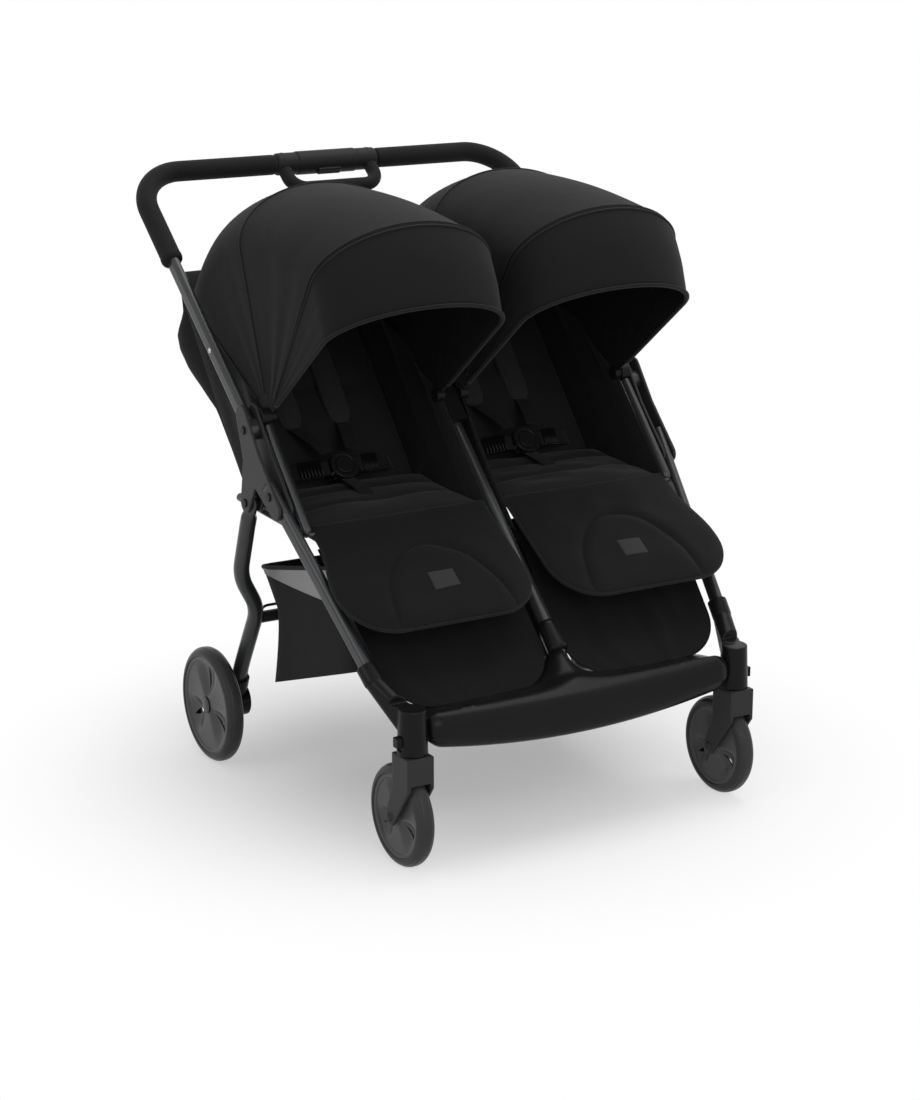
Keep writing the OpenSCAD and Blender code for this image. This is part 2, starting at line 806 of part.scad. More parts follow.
module brake_housing() {
  face_x = rear_x - blade_in;
  end_x = rear_x + tyre_w / 2 - axle_end_in;
  difference() {
    union() {
      bar_x(rear_axle_y, rear_axle_z, leg_x - housing_in, face_x, housing_d);
      along(leg_foot, leg_heel) cylinder(h = sleeve_l, d = leg_d + 2 * sleeve_wall);
    }
    rod(leg_stop, leg_heel, leg_d + 2 * seat_fit);
    rod(leg_heel, leg_jog, leg_d + 2 * seat_fit);
    rod(leg_heel + leg_bend * unit(leg_stop - leg_heel), leg_heel + leg_bend * unit(leg_jog - leg_heel),
        leg_d + 2 * seat_fit);
  }
  bar_x(rear_axle_y, rear_axle_z, leg_x, end_x + cap_t + pass_fit, rear_axle_d);
  bar_x(rear_axle_y, rear_axle_z, end_x + pass_fit, end_x + pass_fit + cap_t,
        rear_axle_d + 2 * cap_lip);
}

// Foot pedal of the brake, on ears behind the right housing
pedal_back = 38;
pedal_up = 12;
pedal_pin_d = 7;
pedal_l = 52;
pedal_t = 8;
pedal_root = 5;
pedal_barrel_d = 16;
ear_t = 4;
pedal_x0 = leg_x - housing_in + ear_t;
pedal_x1 = rear_x - blade_in - ear_t;
pedal_y = rear_axle_y + pedal_back;
pedal_z = rear_axle_z + pedal_up;
pedal_tilt = 18;
module pedal_ears() {
  for (x0 = [pedal_x0 - ear_t, pedal_x1])
    hull() {
      bar_x(pedal_y, pedal_z, x0, x0 + ear_t, pedal_barrel_d, $fn = hull_fn);
      bar_x(rear_axle_y, rear_axle_z, x0, x0 + ear_t, pedal_barrel_d * 2, $fn = hull_fn);
    }
  bar_x(pedal_y, pedal_z, pedal_x0 - ear_t, pedal_x1 + ear_t, pedal_pin_d);
}
module brake_pedal() {
  x0 = pedal_x0 + pass_fit;
  x1 = pedal_x1 - pass_fit;
  color(plastic_c)
    difference() {
      union() {
        bar_x(pedal_y, pedal_z, x0, x1, pedal_barrel_d - 2 * overrun);
        translate([x0, pedal_y, pedal_z]) rotate([pedal_tilt, 0, 0])
          translate([0, pedal_root, -pedal_t / 2]) cube([x1 - x0, pedal_l - pedal_root, pedal_t]);
      }
      bar_x(pedal_y, pedal_z, x0 - overrun, x1 + overrun, pedal_pin_d + 2 * run_fit);
    }
}

// Brake cable from the right housing over the cross tube to the left one
cable_d = 5;
cable_in = housing_in + cable_d / 2 + soft_seat;
cable_off = 14;
cable_start = housing_d / 2;
cable_half = [
  [leg_x - cable_in, rear_axle_y, rear_axle_z + cable_start],
  [leg_x - cable_in, leg_heel.y + cable_off, leg_heel.z],
  [leg_x - cable_in, cross_at.y + cable_off, cross_at.z + cable_off]
];
cable_sides = 8;
cable_bend = 12;
function flip_x(p) = [-p.x, p.y, p.z];
module brake_cable() {
  route = concat(cable_half, [for (i = [2 : -1 : 0]) flip_x(cable_half[i])]);
  color(plastic_c) swept_tube(round_path(route, cable_bend), cable_d, cable_sides, [0, 1, 1]);
}

// Soft pieces

// Padded slab: x across, y along, z the face. The rim is thin, the sides are
// drawn in, the face is crowned, and grooves run where the cover is stitched.
pad_rim = 3;
pad_nu = 12;
pad_nv = 12;
draw_share = 0.05;
crown_power = 4;
end_power = 6;
function pad_u(i) = sin(90 * (2 * i / pad_nu - 1));
function pad_v(j) = 0.5 - 0.5 * cos(180 * j / pad_nv);
function swell(u, v) =
  sqrt(max(0, 1 - pow(u, crown_power))) * sqrt(max(0, 1 - pow(2 * v - 1, end_power)));
// Half width at length y of a slab whose far corners are rounded by r
function round_half(half, len, r, y) =
  y < len - r ? half : half - r + sqrt(max(0, r * r - pow(y - len + r, 2)));
function side_draw(v) = 1 - draw_share * (1 - pow(2 * v - 1, 2));

// Seat pads
seat_pad_gap = 5;
seat_pad_y = rest_hinge.y + rest_t / 2 + seat_pad_gap;
seat_back_room = 16;
seat_pad_l = seat_front_y + seat_depth - seat_back_room - seat_pad_y;
seat_pad_half = rail_x - rail_d / 2 - soft_seat - seat_c;
base_share = (seat_pad_y - rest_hinge.y) / (back_hinge.y - rest_hinge.y);
base_tilt = atan2(back_hinge.z - rest_hinge.z, back_hinge.y - rest_hinge.y);
seat_dip = 10;
seat_groove = 5;
seat_groove_w = 9;
seat_seam_shares = [0.36, 0.7];
function seam_dip(y, at, w, depth) = depth * exp(-pow((y - at) / w, 2));
function seat_pts(face) = [
  for (i = [0 : pad_nu], j = [0 : pad_nv])
    let (u = pad_u(i), v = pad_v(j), y = v * seat_pad_l,
         body = pad_rim + (seat_t / 2 - pad_rim) * swell(u, v),
         cut = face > 0 ? seam_dip(y, seat_seam_shares[0] * seat_pad_l, seat_groove_w, seat_groove)
               + seam_dip(y, seat_seam_shares[1] * seat_pad_l, seat_groove_w, seat_groove) : 0)
    [u * seat_pad_half * side_draw(v), y, face * (body - cut * swell(u, v))]
];
module seat_pad() {
  translate([seat_c, seat_pad_y, rest_hinge.z + base_share * (back_hinge.z - rest_hinge.z)])
    rotate([base_tilt, 0, 0])
      skin(seat_pts(1), seat_pts(-1), pad_nu, pad_nv);
}

// Leg rests: rounded front corners and an arched seam, on the stub of the seat rail
rest_side = 0.8;
rest_ahead = 3;
seam_half = 72;
seam_reach = 165;
seam_width_share = 0.09;
rest_groove = 4;
flare_from_share = 0.16;
flare_to_share = 0.62;
function ease(v, a, b) =
  let (t = min(1, max(0, (v - a) / (b - a)))) t * t * (3 - 2 * t);
function arch_dip(x, y) =
  let (e = norm([x / seam_half, (rest_len - y) / seam_reach]))
  rest_groove * exp(-pow((e - 1) / seam_width_share, 2));
function rest_pts(face) = [
  for (i = [0 : pad_nu], j = [0 : pad_nv])
    let (u = pad_u(i), v = pad_v(j), y = v * rest_len,
         half = round_half(seat_half - rest_side, rest_len, rest_round, y),
         x = u * (half + (u < 0 ? rest_flare * ease(v, flare_from_share, flare_to_share) : 0)),
         body = pad_rim + (rest_t / 2 - pad_rim) * swell(u, v))
    [x, y, face * (body - (face > 0 ? arch_dip(x, y) * swell(u, v) : 0))]
];
module leg_rest() {
  difference() {
    translate([seat_c, rest_hinge.y, rest_hinge.z])
      rotate([front_slope - rest_angle, 0, 0])
        rotate([0, 0, 180])
          translate([0, -rest_t / 2, 0])
            skin(rest_pts(1), rest_pts(-1), pad_nu, pad_nv);
    bar_x(rest_hinge.y, rest_hinge.z, seat_out - hinge_stub_l - overrun, seat_out + overrun,
          hinge_stub_d + 2 * run_fit);
  }
}

// Cloth behind the calves, from the seat's front edge down to the crossbar
calf_t = 6;
calf_in = 6;
calf_round = 70;
calf_sag = 10;
calf_angle = 45;
calf_top_back = 6;
calf_top_drop = 54;
calf_len = 275;
calf_beside = 2;
calf_inner = seat_c - collar_d / 2 - calf_beside - (seat_half - calf_in);
calf_taper = 25;
function calf_pts(face) = [
  for (i = [0 : pad_nu], j = [0 : pad_nv])
    let (u = pad_u(i), v = pad_v(j), y = v * calf_len)
    [u * (round_half(seat_half - calf_in, calf_len, calf_round, y)
          + (u < 0 ? -calf_taper * v : calf_inner * ease(v, 0, flare_to_share))), y,
     face * calf_t / 2 - calf_sag * (1 - u * u) * sin(180 * v)]
];
module calf_panel() {
  translate([seat_c, seat_front_y - calf_top_back, seat_z - calf_top_drop])
    rotate([calf_angle, 0, 0])
      rotate([0, 0, 180])
        skin(calf_pts(1), calf_pts(-1), pad_nu, pad_nv);
}

// Backrests: padded in front, with a full belly of cloth behind. They end below the grab loop.
loop_drop = hub_d / 2 + loop_leg + loop_corner_r;
loop_low = [handle_y - loop_drop * cos(push_angle), handle_z - loop_drop * sin(push_angle)];
back_side = 5;
back_belly = 64;
belly_power = 24;
bag_share = 0.12;
back_start = -9;
back_len = norm(loop_low - [back_hinge.y, back_hinge.z]) - loop_d / 2 - loop_clear - back_start;
back_groove = 6;
back_groove_w = 10;
back_seam_shares = [0.42, 0.74];
back_narrow_share = 0.04;
belly_share = 0.84;
function belly(v) = sin(180 * pow(v, log(0.5) / log(belly_share)));
function back_pts(face) = [
  for (i = [0 : pad_nu], j = [0 : pad_nv])
    let (u = pad_u(i), v = pad_v(j), y = v * back_len,
         body = pad_rim + (back_t / 2 - pad_rim) * swell(u, v),
         cut = seam_dip(y, back_seam_shares[0] * back_len, back_groove_w, back_groove)
               + seam_dip(y, back_seam_shares[1] * back_len, back_groove_w, back_groove),
         rear = back_belly * belly(v) * (1 - pow(u, belly_power)))
    [u * (seat_half - back_side) * (1 - back_narrow_share * v * v)
       * (face < 0 && abs(u) < 1 ? 1 + bag_share * belly(v) : 1), back_start + y,
     face > 0 ? body - cut * swell(u, v) : -body - rear]
];
module on_back() {
  translate([seat_c, back_hinge.y, back_hinge.z]) rotate([back_angle, 0, 0]) children();
}
module backrest() {
  difference() {
    on_back() skin(back_pts(1), back_pts(-1), pad_nu, pad_nv);
    bar_x(back_hinge.y, back_hinge.z, seat_out - hinge_stub_l - overrun, seat_out + overrun,
          hinge_stub_d + 2 * run_fit);
  }
}

// Harness
strap_w = 25;
strap_t = 2;
module strap(p, q, w, t) {
  along(p, q) translate([-w / 2, -t / 2, 0]) cube([w, t, norm(q - p)]);
}
shoulder_x = 46;
shoulder_w = 44;
shoulder_t = 10;
shoulder_low = 120;
shoulder_l = 170;
shoulder_lift = soft_seat;
buckle_d = 50;
buckle_t = 16;
buckle_up = 5;
buckle_out = 66;
buckle_button_d = 32;
buckle_press = 3;
buckle_floor = 4;
strap_end_gap = 3;
strap_seat = 0.7;
function on_back_pt(x, y, z) = [
  seat_c + x,
  back_hinge.y + y * cos(back_angle) - z * sin(back_angle),
  back_hinge.z + y * sin(back_angle) + z * cos(back_angle)
];
pad_face = back_t / 2 + shoulder_lift;
module shoulder_pads() {
  for (s = [-1, 1]) {
    on_back()
      translate([s * shoulder_x, shoulder_low, pad_face])
        hull()
          for (e = [0, 1])
            translate([0, e * (shoulder_l - shoulder_w), 0])
              cylinder(h = shoulder_t, d = shoulder_w, $fn = hull_fn);
    strap(on_back_pt(s * shoulder_x, shoulder_low - shoulder_w / 2, pad_face + shoulder_t / 2),
          on_back_pt(s * buckle_d / 2, buckle_up + buckle_d / 2 + strap_end_gap,
                     buckle_out - strap_t),
          strap_w, strap_t);
  }
}
module buckle_at() { on_back() translate([0, buckle_up, buckle_out - buckle_t]) children(); }
module buckle() {
  buckle_at()
    difference() {
      cylinder(h = buckle_t, d = buckle_d);
      translate([0, 0, buckle_floor])
        cylinder(h = buckle_t, d = buckle_button_d + 2 * pass_fit);
    }
}
module buckle_button() {
  buckle_at()
    translate([0, 0, buckle_floor + buckle_press + pass_fit])
      cylinder(h = buckle_t - buckle_floor - buckle_press + pass_fit, d = buckle_button_d);
}
// Crotch strap up from the seat pad, and waist straps out to the seat's back corners
crotch_back_share = 0.5;
crotch_lift = 7.5;
waist_x = 112;
waist_up = 20;
waist_out = 16;
module harness_straps() {
  crotch = [seat_c, seat_front_y + seat_depth * crotch_back_share, seat_z + crotch_lift];
  color(cloth_c)
    for (m = [0, 1])
      mirror([m, 0, 0]) {
        strap(crotch, on_back_pt(0, buckle_up - buckle_d / 2 - strap_seat, buckle_out - buckle_t / 2),
              strap_w, strap_t);
        on_back()
          for (s = [-1, 1])
            hull() {
              translate([s * (buckle_d / 2 + strap_seat), buckle_up, buckle_out - buckle_t / 2])
                cube([strap_seat, strap_w, strap_t], center = true);
              translate([s * waist_x, waist_up, waist_out])
                cube([strap_seat, strap_w, strap_t], center = true);
            }
      }
}

// Hoods: sheets stretched over bows that fan out from the pivot
hood_nu = 24;
hood_nv = 5;
visor_nv = 4;
visor_gap_share = 0.012;
hood_r0 = hinge_boss_d / 2 / cos((bow_mid_a - bow_rear_a) / 2) + pass_fit;
bow_a = [bow_hem_a, bow_rear_a, bow_mid_a, bow_front_a];
bow_r = [hood_hem_r, hood_rear_r, hood_mid_r, hood_front_r];
// Each bow has two straight legs and a flat rounded top
function arch_a(t) = 180 * (t - arch_turn_share) / (1 - 2 * arch_turn_share);
function arch_x(t) =
  t < arch_turn_share ? 1 : t > 1 - arch_turn_share ? -1 : cos(arch_a(t));
function arch_rise(t) =
  t < arch_turn_share ? arch_leg_share * t / arch_turn_share :
  t > 1 - arch_turn_share ? arch_leg_share * (1 - t) / arch_turn_share :
  arch_leg_share + (1 - arch_leg_share) * sin(arch_a(t));
function bow_pt(k, t, thin) =
  let (r = hood_r0 + (bow_r[k] - thin - hood_r0) * arch_rise(t))
  [seat_c + (seat_half - thin) * arch_x(t),
   pivot.y + r * cos(bow_a[k]), pivot.z + r * sin(bow_a[k])];
function hood_pt(t, s, thin) =
  let (k = min(floor(s), 2), f = s - k,
       p = bow_pt(k, t, thin) * (1 - f) + bow_pt(k + 1, t, thin) * f,
       a = bow_a[k] * (1 - f) + bow_a[k + 1] * f,
       out = sin(180 * f) * sin(180 * t) * (k == 0 ? hood_rear_swell : hood_swell * sin(180 * t)))
  p + out * [0, cos(a), sin(a)];
function hood_grid(s0, s1, nv, thin) = [
  for (i = [0 : hood_nu], j = [0 : nv])
    hood_pt(i / hood_nu, s0 + (s1 - s0) * j / nv, thin)
];
module hood_shell() {
  skin(hood_grid(0, 2 - visor_gap_share, 2 * hood_nv, 0),
       hood_grid(0, 2 - visor_gap_share, 2 * hood_nv, cloth_t), hood_nu, 2 * hood_nv);
}
module hood_visor() {
  skin(hood_grid(2 + visor_gap_share, 3, visor_nv, 0),
       hood_grid(2 + visor_gap_share, 3, visor_nv, cloth_t), hood_nu, visor_nv);
}

// Side walls of the seats: cloth hanging in soft folds from the rail to the backrest
wing_t = 2;
wing_low_gap = 20;
wing_low_share = 0.12;
wing_top_share = 0.82;
wing_folds = 3;
wing_wave = 4;
wing_nu = 14;
wing_nv = 8;
wing_back_low = 20;
wing_back_l = back_len + back_start - wing_back_low - wing_low_gap;
wing_behind = 12;
inner_lean = 5.5;
wing_x = rail_x - rail_d / 2 - soft_seat - wing_t / 2;
function wing_pt(u, v, side) =
  let (rail = pivot - rest_hinge,
       low = rest_hinge + wing_low_share * rail,
       top = rest_hinge + wing_top_share * rail,
       face = back_t / 2 - wing_behind,
       b = on_back_pt(0, wing_back_low + v * wing_back_l, face),
       f = low * (1 - v) + top * v)
  [wing_x + side * wing_t / 2 - wing_wave * pow(sin(180 * wing_folds * u), 2) * sin(90 * v),
   f.y * (1 - u) + b.y * u, f.z * (1 - u) + b.z * u];
function wing_grid(side) = [
  for (i = [0 : wing_nu], j = [0 : wing_nv]) wing_pt(i / wing_nu, j / wing_nv, side)
];
// The inner wall hangs from the middle bracket, its folds towards the seat
wing_inner_x = mid_bracket_t / 2 + soft_seat + wing_t / 2;
function to_inner(p, u) = [wing_inner_x + wing_x - p.x + inner_lean * u * u, p.y, p.z];
function inner_grid(side) = [
  for (i = [0 : wing_nu], j = [0 : wing_nv])
    to_inner(wing_pt(i / wing_nu, j / wing_nv, side), i / wing_nu)
];
module seat_wing() {
  skin(wing_grid(1), wing_grid(-1), wing_nu, wing_nv);
  skin(inner_grid(-1), inner_grid(1), wing_nu, wing_nv);
}

// Basket under the seats, open at the top
basket_front_y = -170;
basket_top_drop = 70;
basket_back_drop = 146;
basket_lean = 62;
basket_low = 150;
basket_tail = 44;
basket_heel = 11;
basket_nip = 14;
basket_x = leg_x - leg_d / 2 - soft_seat;
basket_back_y = cross_at.y - cross_d / 2 - soft_seat;
function basket_outline(in) = [
  [basket_front_y + in, seat_z - basket_top_drop + in * 9],
  [basket_back_y + basket_tail - in, seat_z - basket_back_drop + in * 9],
  [basket_back_y - in, cross_at.z + basket_nip],
  [basket_back_y - in, cross_at.z - basket_nip],
  [basket_back_y + basket_heel - in, basket_low + in],
  [basket_front_y - basket_lean + in, seat_z - basket_top_drop - basket_depth + in]
];
module basket_block(in) {
  translate([-basket_x + in, 0, 0])
    rotate([90, 0, 90])
      linear_extrude(2 * (basket_x - in)) polygon(basket_outline(in));
}
module basket() {
  color(cloth_c)
    difference() {
      basket_block(0);
      basket_block(basket_t);
    }
}

// Left and right pieces
module caster_socket_left() { color(plastic_c) left() caster_socket(); }
module caster_socket_right() { color(plastic_c) caster_socket(); }
module front_tube_left() { color(metal_c) left() front_tube(); }
module front_tube_right() { color(metal_c) front_tube(); }
module side_bracket_left() { color(plastic_c) left() side_bracket(); }
module side_bracket_right() { color(plastic_c) side_bracket(); }
module seat_rail_left() { color(metal_c) left() seat_rail(); }
module seat_rail_right() { color(metal_c) seat_rail(); }
module seat_pad_left() { color(cloth_c) left() seat_pad(); }
module seat_pad_right() { color(cloth_c) seat_pad(); }
module calf_panel_left() { color(cloth_c) left() calf_panel(); }
module calf_panel_right() { color(cloth_c) calf_panel(); }
module seat_wing_left() { color(cloth_c) left() seat_wing(); }
module seat_wing_right() { color(cloth_c) seat_wing(); }
module hood_shell_left() { color(cloth_c) left() hood_shell(); }
module hood_shell_right() { color(cloth_c) hood_shell(); }
module hood_visor_left() { color(cloth_c) left() hood_visor(); }
module hood_visor_right() { color(cloth_c) hood_visor(); }
module buckle_left() { color(plastic_c) left() buckle(); }
module buckle_right() { color(plastic_c) buckle(); }
module buckle_button_left() { color(rim_c) left() buckle_button(); }
module buckle_button_right() { color(rim_c) buckle_button(); }
module grip_left() { color(foam_c) left() grip(); }
module grip_right() { color(foam_c) grip(); }
module rear_leg_left() { color(metal_c) left() rear_leg(); }
module rear_leg_right() { color(metal_c) rear_leg(); }
module brake_housing_left() { color(plastic_c) left() brake_housing(); }
module brake_housing_right() {
  color(plastic_c) {
    brake_housing();
    pedal_ears();
  }
}
module rear_tyre_left() { color(rubber_c) left() rear_wheel_at() tyre(rear_wheel_d); }
module rear_tyre_right() { color(rubber_c) rear_wheel_at() tyre(rear_wheel_d); }
module rear_rim_left() { color(rim_c) left() rear_rim(); }
module rear_rim_right() { color(rim_c) rear_rim(); }
module caster_fork_left() { color(plastic_c) left() caster_fork(); }
module caster_fork_right() { color(plastic_c) caster_fork(); }
module front_tyre_left() { color(rubber_c) left() front_wheel_at() tyre(front_wheel_d); }
module front_tyre_right() { color(rubber_c) front_wheel_at() tyre(front_wheel_d); }
module front_rim_left() { color(rim_c) left() front_rim(); }
module front_rim_right() { color(rim_c) front_rim(); }
module caster_lock_left() { color(rim_c) left() lock_block(0, 0); }
module caster_lock_right() { color(rim_c) lock_block(0, 0); }
module backrest_left() { color(cloth_c) left() backrest(); }
module backrest_right() { color(cloth_c) backrest(); }
module shoulder_pads_left() { color(foam_c) left() shoulder_pads(); }
module shoulder_pads_right() { color(foam_c) shoulder_pads(); }
module leg_rest_left() { color(cloth_c) left() leg_rest(); }
module leg_rest_right() { color(cloth_c) leg_rest(); }

front_crossbar();
caster_socket_left();
caster_socket_right();
front_tube_left();
front_tube_right();
centre_tube();
side_bracket_left();
side_bracket_right();
centre_bracket();
seat_rail_left();
seat_rail_right();
frame_pins();
seat_pad_left();
seat_pad_right();
calf_panel_left();
calf_panel_right();
seat_wing_left();
seat_wing_right();
hood_shell_left();
hood_shell_right();
hood_hinges();
basket();
harness_straps();
buckle_left();
buckle_right();
buckle_button_left();
buckle_button_right();
push_bar();
grip_left();
grip_right();
fold_hub();
grab_loop();
fold_button();
rear_leg_left();
rear_leg_right();
cross_tube();
brake_housing_left();
brake_housing_right();
brake_pedal();
brake_cable();
rear_tyre_left();
rear_tyre_right();
rear_rim_left();
rear_rim_right();
caster_fork_left();
caster_fork_right();
front_tyre_left();
front_tyre_right();
front_rim_left();
front_rim_right();
caster_lock_left();
caster_lock_right();
backrest_left();
backrest_right();
shoulder_pads_left();
shoulder_pads_right();
leg_rest_left();
leg_rest_right();
hood_visor_left();
hood_visor_right();
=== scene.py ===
import bpy
import bmesh
import json
import numpy as np
from mathutils import Matrix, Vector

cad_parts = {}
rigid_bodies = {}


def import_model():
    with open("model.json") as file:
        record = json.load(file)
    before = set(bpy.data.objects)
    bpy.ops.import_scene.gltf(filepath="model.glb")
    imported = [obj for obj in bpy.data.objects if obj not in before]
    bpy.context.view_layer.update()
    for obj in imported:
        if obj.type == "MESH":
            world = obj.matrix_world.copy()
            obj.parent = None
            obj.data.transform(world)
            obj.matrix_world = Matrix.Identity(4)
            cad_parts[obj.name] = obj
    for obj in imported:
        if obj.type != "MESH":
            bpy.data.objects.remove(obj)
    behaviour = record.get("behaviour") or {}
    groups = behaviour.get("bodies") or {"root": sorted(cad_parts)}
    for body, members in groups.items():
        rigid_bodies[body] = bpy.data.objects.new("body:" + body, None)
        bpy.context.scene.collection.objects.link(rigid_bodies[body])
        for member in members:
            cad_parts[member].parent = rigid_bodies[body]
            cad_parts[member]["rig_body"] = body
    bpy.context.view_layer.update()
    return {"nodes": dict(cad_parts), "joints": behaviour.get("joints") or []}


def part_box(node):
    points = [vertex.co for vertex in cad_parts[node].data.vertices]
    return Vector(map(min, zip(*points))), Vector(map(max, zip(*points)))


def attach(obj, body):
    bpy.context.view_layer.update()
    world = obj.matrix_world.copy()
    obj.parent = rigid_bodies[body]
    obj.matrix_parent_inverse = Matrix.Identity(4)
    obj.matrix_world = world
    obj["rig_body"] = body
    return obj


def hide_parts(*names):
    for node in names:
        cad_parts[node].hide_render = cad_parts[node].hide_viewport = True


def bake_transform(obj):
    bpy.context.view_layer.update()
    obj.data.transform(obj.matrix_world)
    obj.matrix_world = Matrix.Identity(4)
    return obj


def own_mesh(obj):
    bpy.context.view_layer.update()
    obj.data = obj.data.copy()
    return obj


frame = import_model()

# Camera: stands in front of the stroller's left side, a little above the hoods,
# at the photograph's own distance and angle.
across = np.array([0.8570, -0.5155, 0.0])
ahead = np.array([0.4960, 0.8245, -0.2724])
stand = np.eye(4)
stand[:3] = np.stack([across, np.cross(across, ahead), -ahead, (-2.0043, -3.3679, 1.4769)], 1)
lens = bpy.data.cameras.new("photo_camera")
lens.lens, lens.sensor_width = 79.52, 36.0
lens.clip_start, lens.clip_end = 0.05, 60.0
camera = bpy.data.objects.new("photo_camera", lens)
bpy.context.scene.collection.objects.link(camera)
camera.matrix_world = Matrix(stand.tolist())
bpy.context.scene.camera = camera
bpy.context.scene.view_settings.view_transform = "Standard"


# Studio: a white floor that fades into a white background, one wide soft light
# overhead, one in front and a weaker one on each side.
class Socket:
    """A value in a material: arithmetic on it adds Math nodes to the same material."""

    def __init__(self, finish, out):
        self.finish, self.out = finish, out

    def _math(self, operation, a, b):
        return self.finish.node("Math", {0: a, 1: b}, operation=operation)

    def __add__(self, other):
        return self._math("ADD", self, other)

    __radd__ = __add__

    def __sub__(self, other):
        return self._math("SUBTRACT", self, other)

    def __mul__(self, other):
        return self._math("MULTIPLY", self, other)


class Finish:
    """A material or world in the making: node() adds a node and gives back one of its outputs."""

    def __init__(self, name, world=None):
        self.made = world or bpy.data.materials.new(name)
        self.made.use_nodes = True
        self.tree = self.made.node_tree
        self.tree.nodes.clear()
        kind = "World" if world else "Material"
        self.output = self.tree.nodes.new("ShaderNodeOutput" + kind)

    def node(self, kind, sockets=None, out=0, **settings):
        made = self.tree.nodes.new("ShaderNode" + kind)
        for key, value in settings.items():
            setattr(made, key, value)
        for key, value in (sockets or {}).items():
            self.feed(made.inputs[key], value)
        return Socket(self, made.outputs[out])

    def feed(self, socket, value):
        if isinstance(value, Socket):
            self.tree.links.new(value.out, socket)
        elif hasattr(value, "__len__") and len(value) == 3 and len(socket.default_value) == 4:
            socket.default_value = (*value, 1)
        else:
            socket.default_value = value

    def surface(self, **sockets):
        """Principled shader with these sockets, as the material's surface."""
        named = {key.replace("_", " "): value for key, value in sockets.items()}
        return self.show(self.node("BsdfPrincipled", named))

    def show(self, shader):
        """Makes a shader the surface."""
        self.tree.links.new(shader.out, self.output.inputs["Surface"])
        return self.made

    def direct(self):
        """1 for rays that see the background itself or its mirror image, else 0."""
        seen = self.node("LightPath", out="Is Camera Ray")
        return seen + self.node("LightPath", out="Is Glossy Ray")

    def place(self):
        """Object coordinates."""
        return self.node("TexCoord", out="Object")

    def noise(self, scale, detail=2.0, rough=0.5):
        """Noise from 0 to 1, scale waves to the metre."""
        sockets = {"Vector": self.place(), "Scale": scale, "Detail": detail, "Roughness": rough}
        return self.node("TexNoise", sockets)

    def shade(self, value, dark, light):
        """Colour from dark to light with a value from 0 to 1; a pair is grey and its blue."""
        dark, light = ((c[0], c[-2], c[-1]) for c in (dark, light))
        return self.node("Mix", {0: value, 6: dark, 7: light}, 2, data_type="RGBA")

    def bump(self, height, strength, distance, normal=None):
        sockets = {"Height": height, "Strength": strength, "Distance": distance}
        if normal:
            sockets["Normal"] = normal
        return self.node("Bump", sockets)


def grid_faces(nu, nv, ring_u=False, ring_v=False):
    """Quads of a grid of nu by nv points that face along du x dv; ring_u and ring_v close it."""
    i = np.arange(nu if ring_u else nu - 1)[:, None]
    j = np.arange(nv if ring_v else nv - 1)[None, :]
    k, l = (i + 1) % nu, (j + 1) % nv
    i, j, k, l = np.broadcast_arrays(i, j, k, l)
    return np.stack([i * nv + j, k * nv + j, k * nv + l, i * nv + l], -1).reshape(-1, 4)


def put(name, points, faces, material):
    """Smooth mesh object at the origin from points and faces."""
    mesh = bpy.data.meshes.new(name)
    points = np.asarray(points, float).reshape(-1, 3)
    mesh.from_pydata(points.tolist(), [], [list(f) for f in faces])
    mesh.polygons.foreach_set("use_smooth", [True] * len(mesh.polygons))
    for m in material if isinstance(material, list) else [material]:
        mesh.materials.append(m)
    mesh.validate()
    piece = bpy.data.objects.new(name, mesh)
    bpy.context.scene.collection.objects.link(piece)
    return piece


def unit(v):
    """Vectors divided by their length."""
    v = np.asarray(v, float)
    return v / np.linalg.norm(v, axis=-1, keepdims=True)


paper = Finish("floor_paper")
far = paper.node("VectorMath", {0: paper.place()}, 1, operation="LENGTH")
glow_from, glow_full, glow_least = 0.15, 0.85, 0.28
fade = paper.node(
    "MapRange",
    {0: far, 1: glow_from, 2: glow_full, 3: glow_least, 4: 1.0},
    interpolation_type="SMOOTHSTEP",
)
grain = paper.shade(paper.noise(400.0), (0.86, 0.86), (0.88, 0.88))
matt = paper.node("BsdfDiffuse", {"Color": grain})
glow = paper.node("Emission", {"Color": (1, 1, 1), "Strength": 1.0})
paper.show(paper.node("MixShader", {0: fade * paper.direct(), 1: matt, 2: glow}))
half_floor = 12.0
corners = np.array([[-1, -1, 0], [1, -1, 0], [1, 1, 0], [-1, 1, 0]])
floor = put("studio_floor", corners * half_floor, [[0, 1, 2, 3]], paper.made)

world = bpy.data.worlds.new("studio_white")
bpy.context.scene.world = world
sky = Finish("studio_white", world)
level = sky.node("MapRange", {0: sky.direct(), 3: 0.45, 4: 1.0})
sky.show(sky.node("Background", {"Color": (1, 1, 1), "Strength": level}))


def soft_light(name, at, size, watts):
    """Square area light of a given side that faces the middle of the seats."""
    lamp = bpy.data.lights.new(name, "AREA")
    lamp.energy, lamp.size = watts, size
    made = bpy.data.objects.new(name, lamp)
    bpy.context.scene.collection.objects.link(made)
    z = unit(np.array(at) - [0, 0, 0.5])
    x = unit(np.cross([0.0, 1.0, 0.01], z))
    turn = np.eye(4)
    turn[:3] = np.stack([x, np.cross(z, x), z, at], 1)
    made.matrix_world = Matrix(turn.tolist())


soft_light("overhead", (0.8, -0.1, 3.4), 2.3, 46)
soft_light("front", (-0.6, -3.6, 2.2), 2.0, 30)
soft_light("left_side", (-3.2, -0.4, 1.6), 1.5, 15)
soft_light("right_side", (3.2, -0.8, 1.8), 2.0, 6)


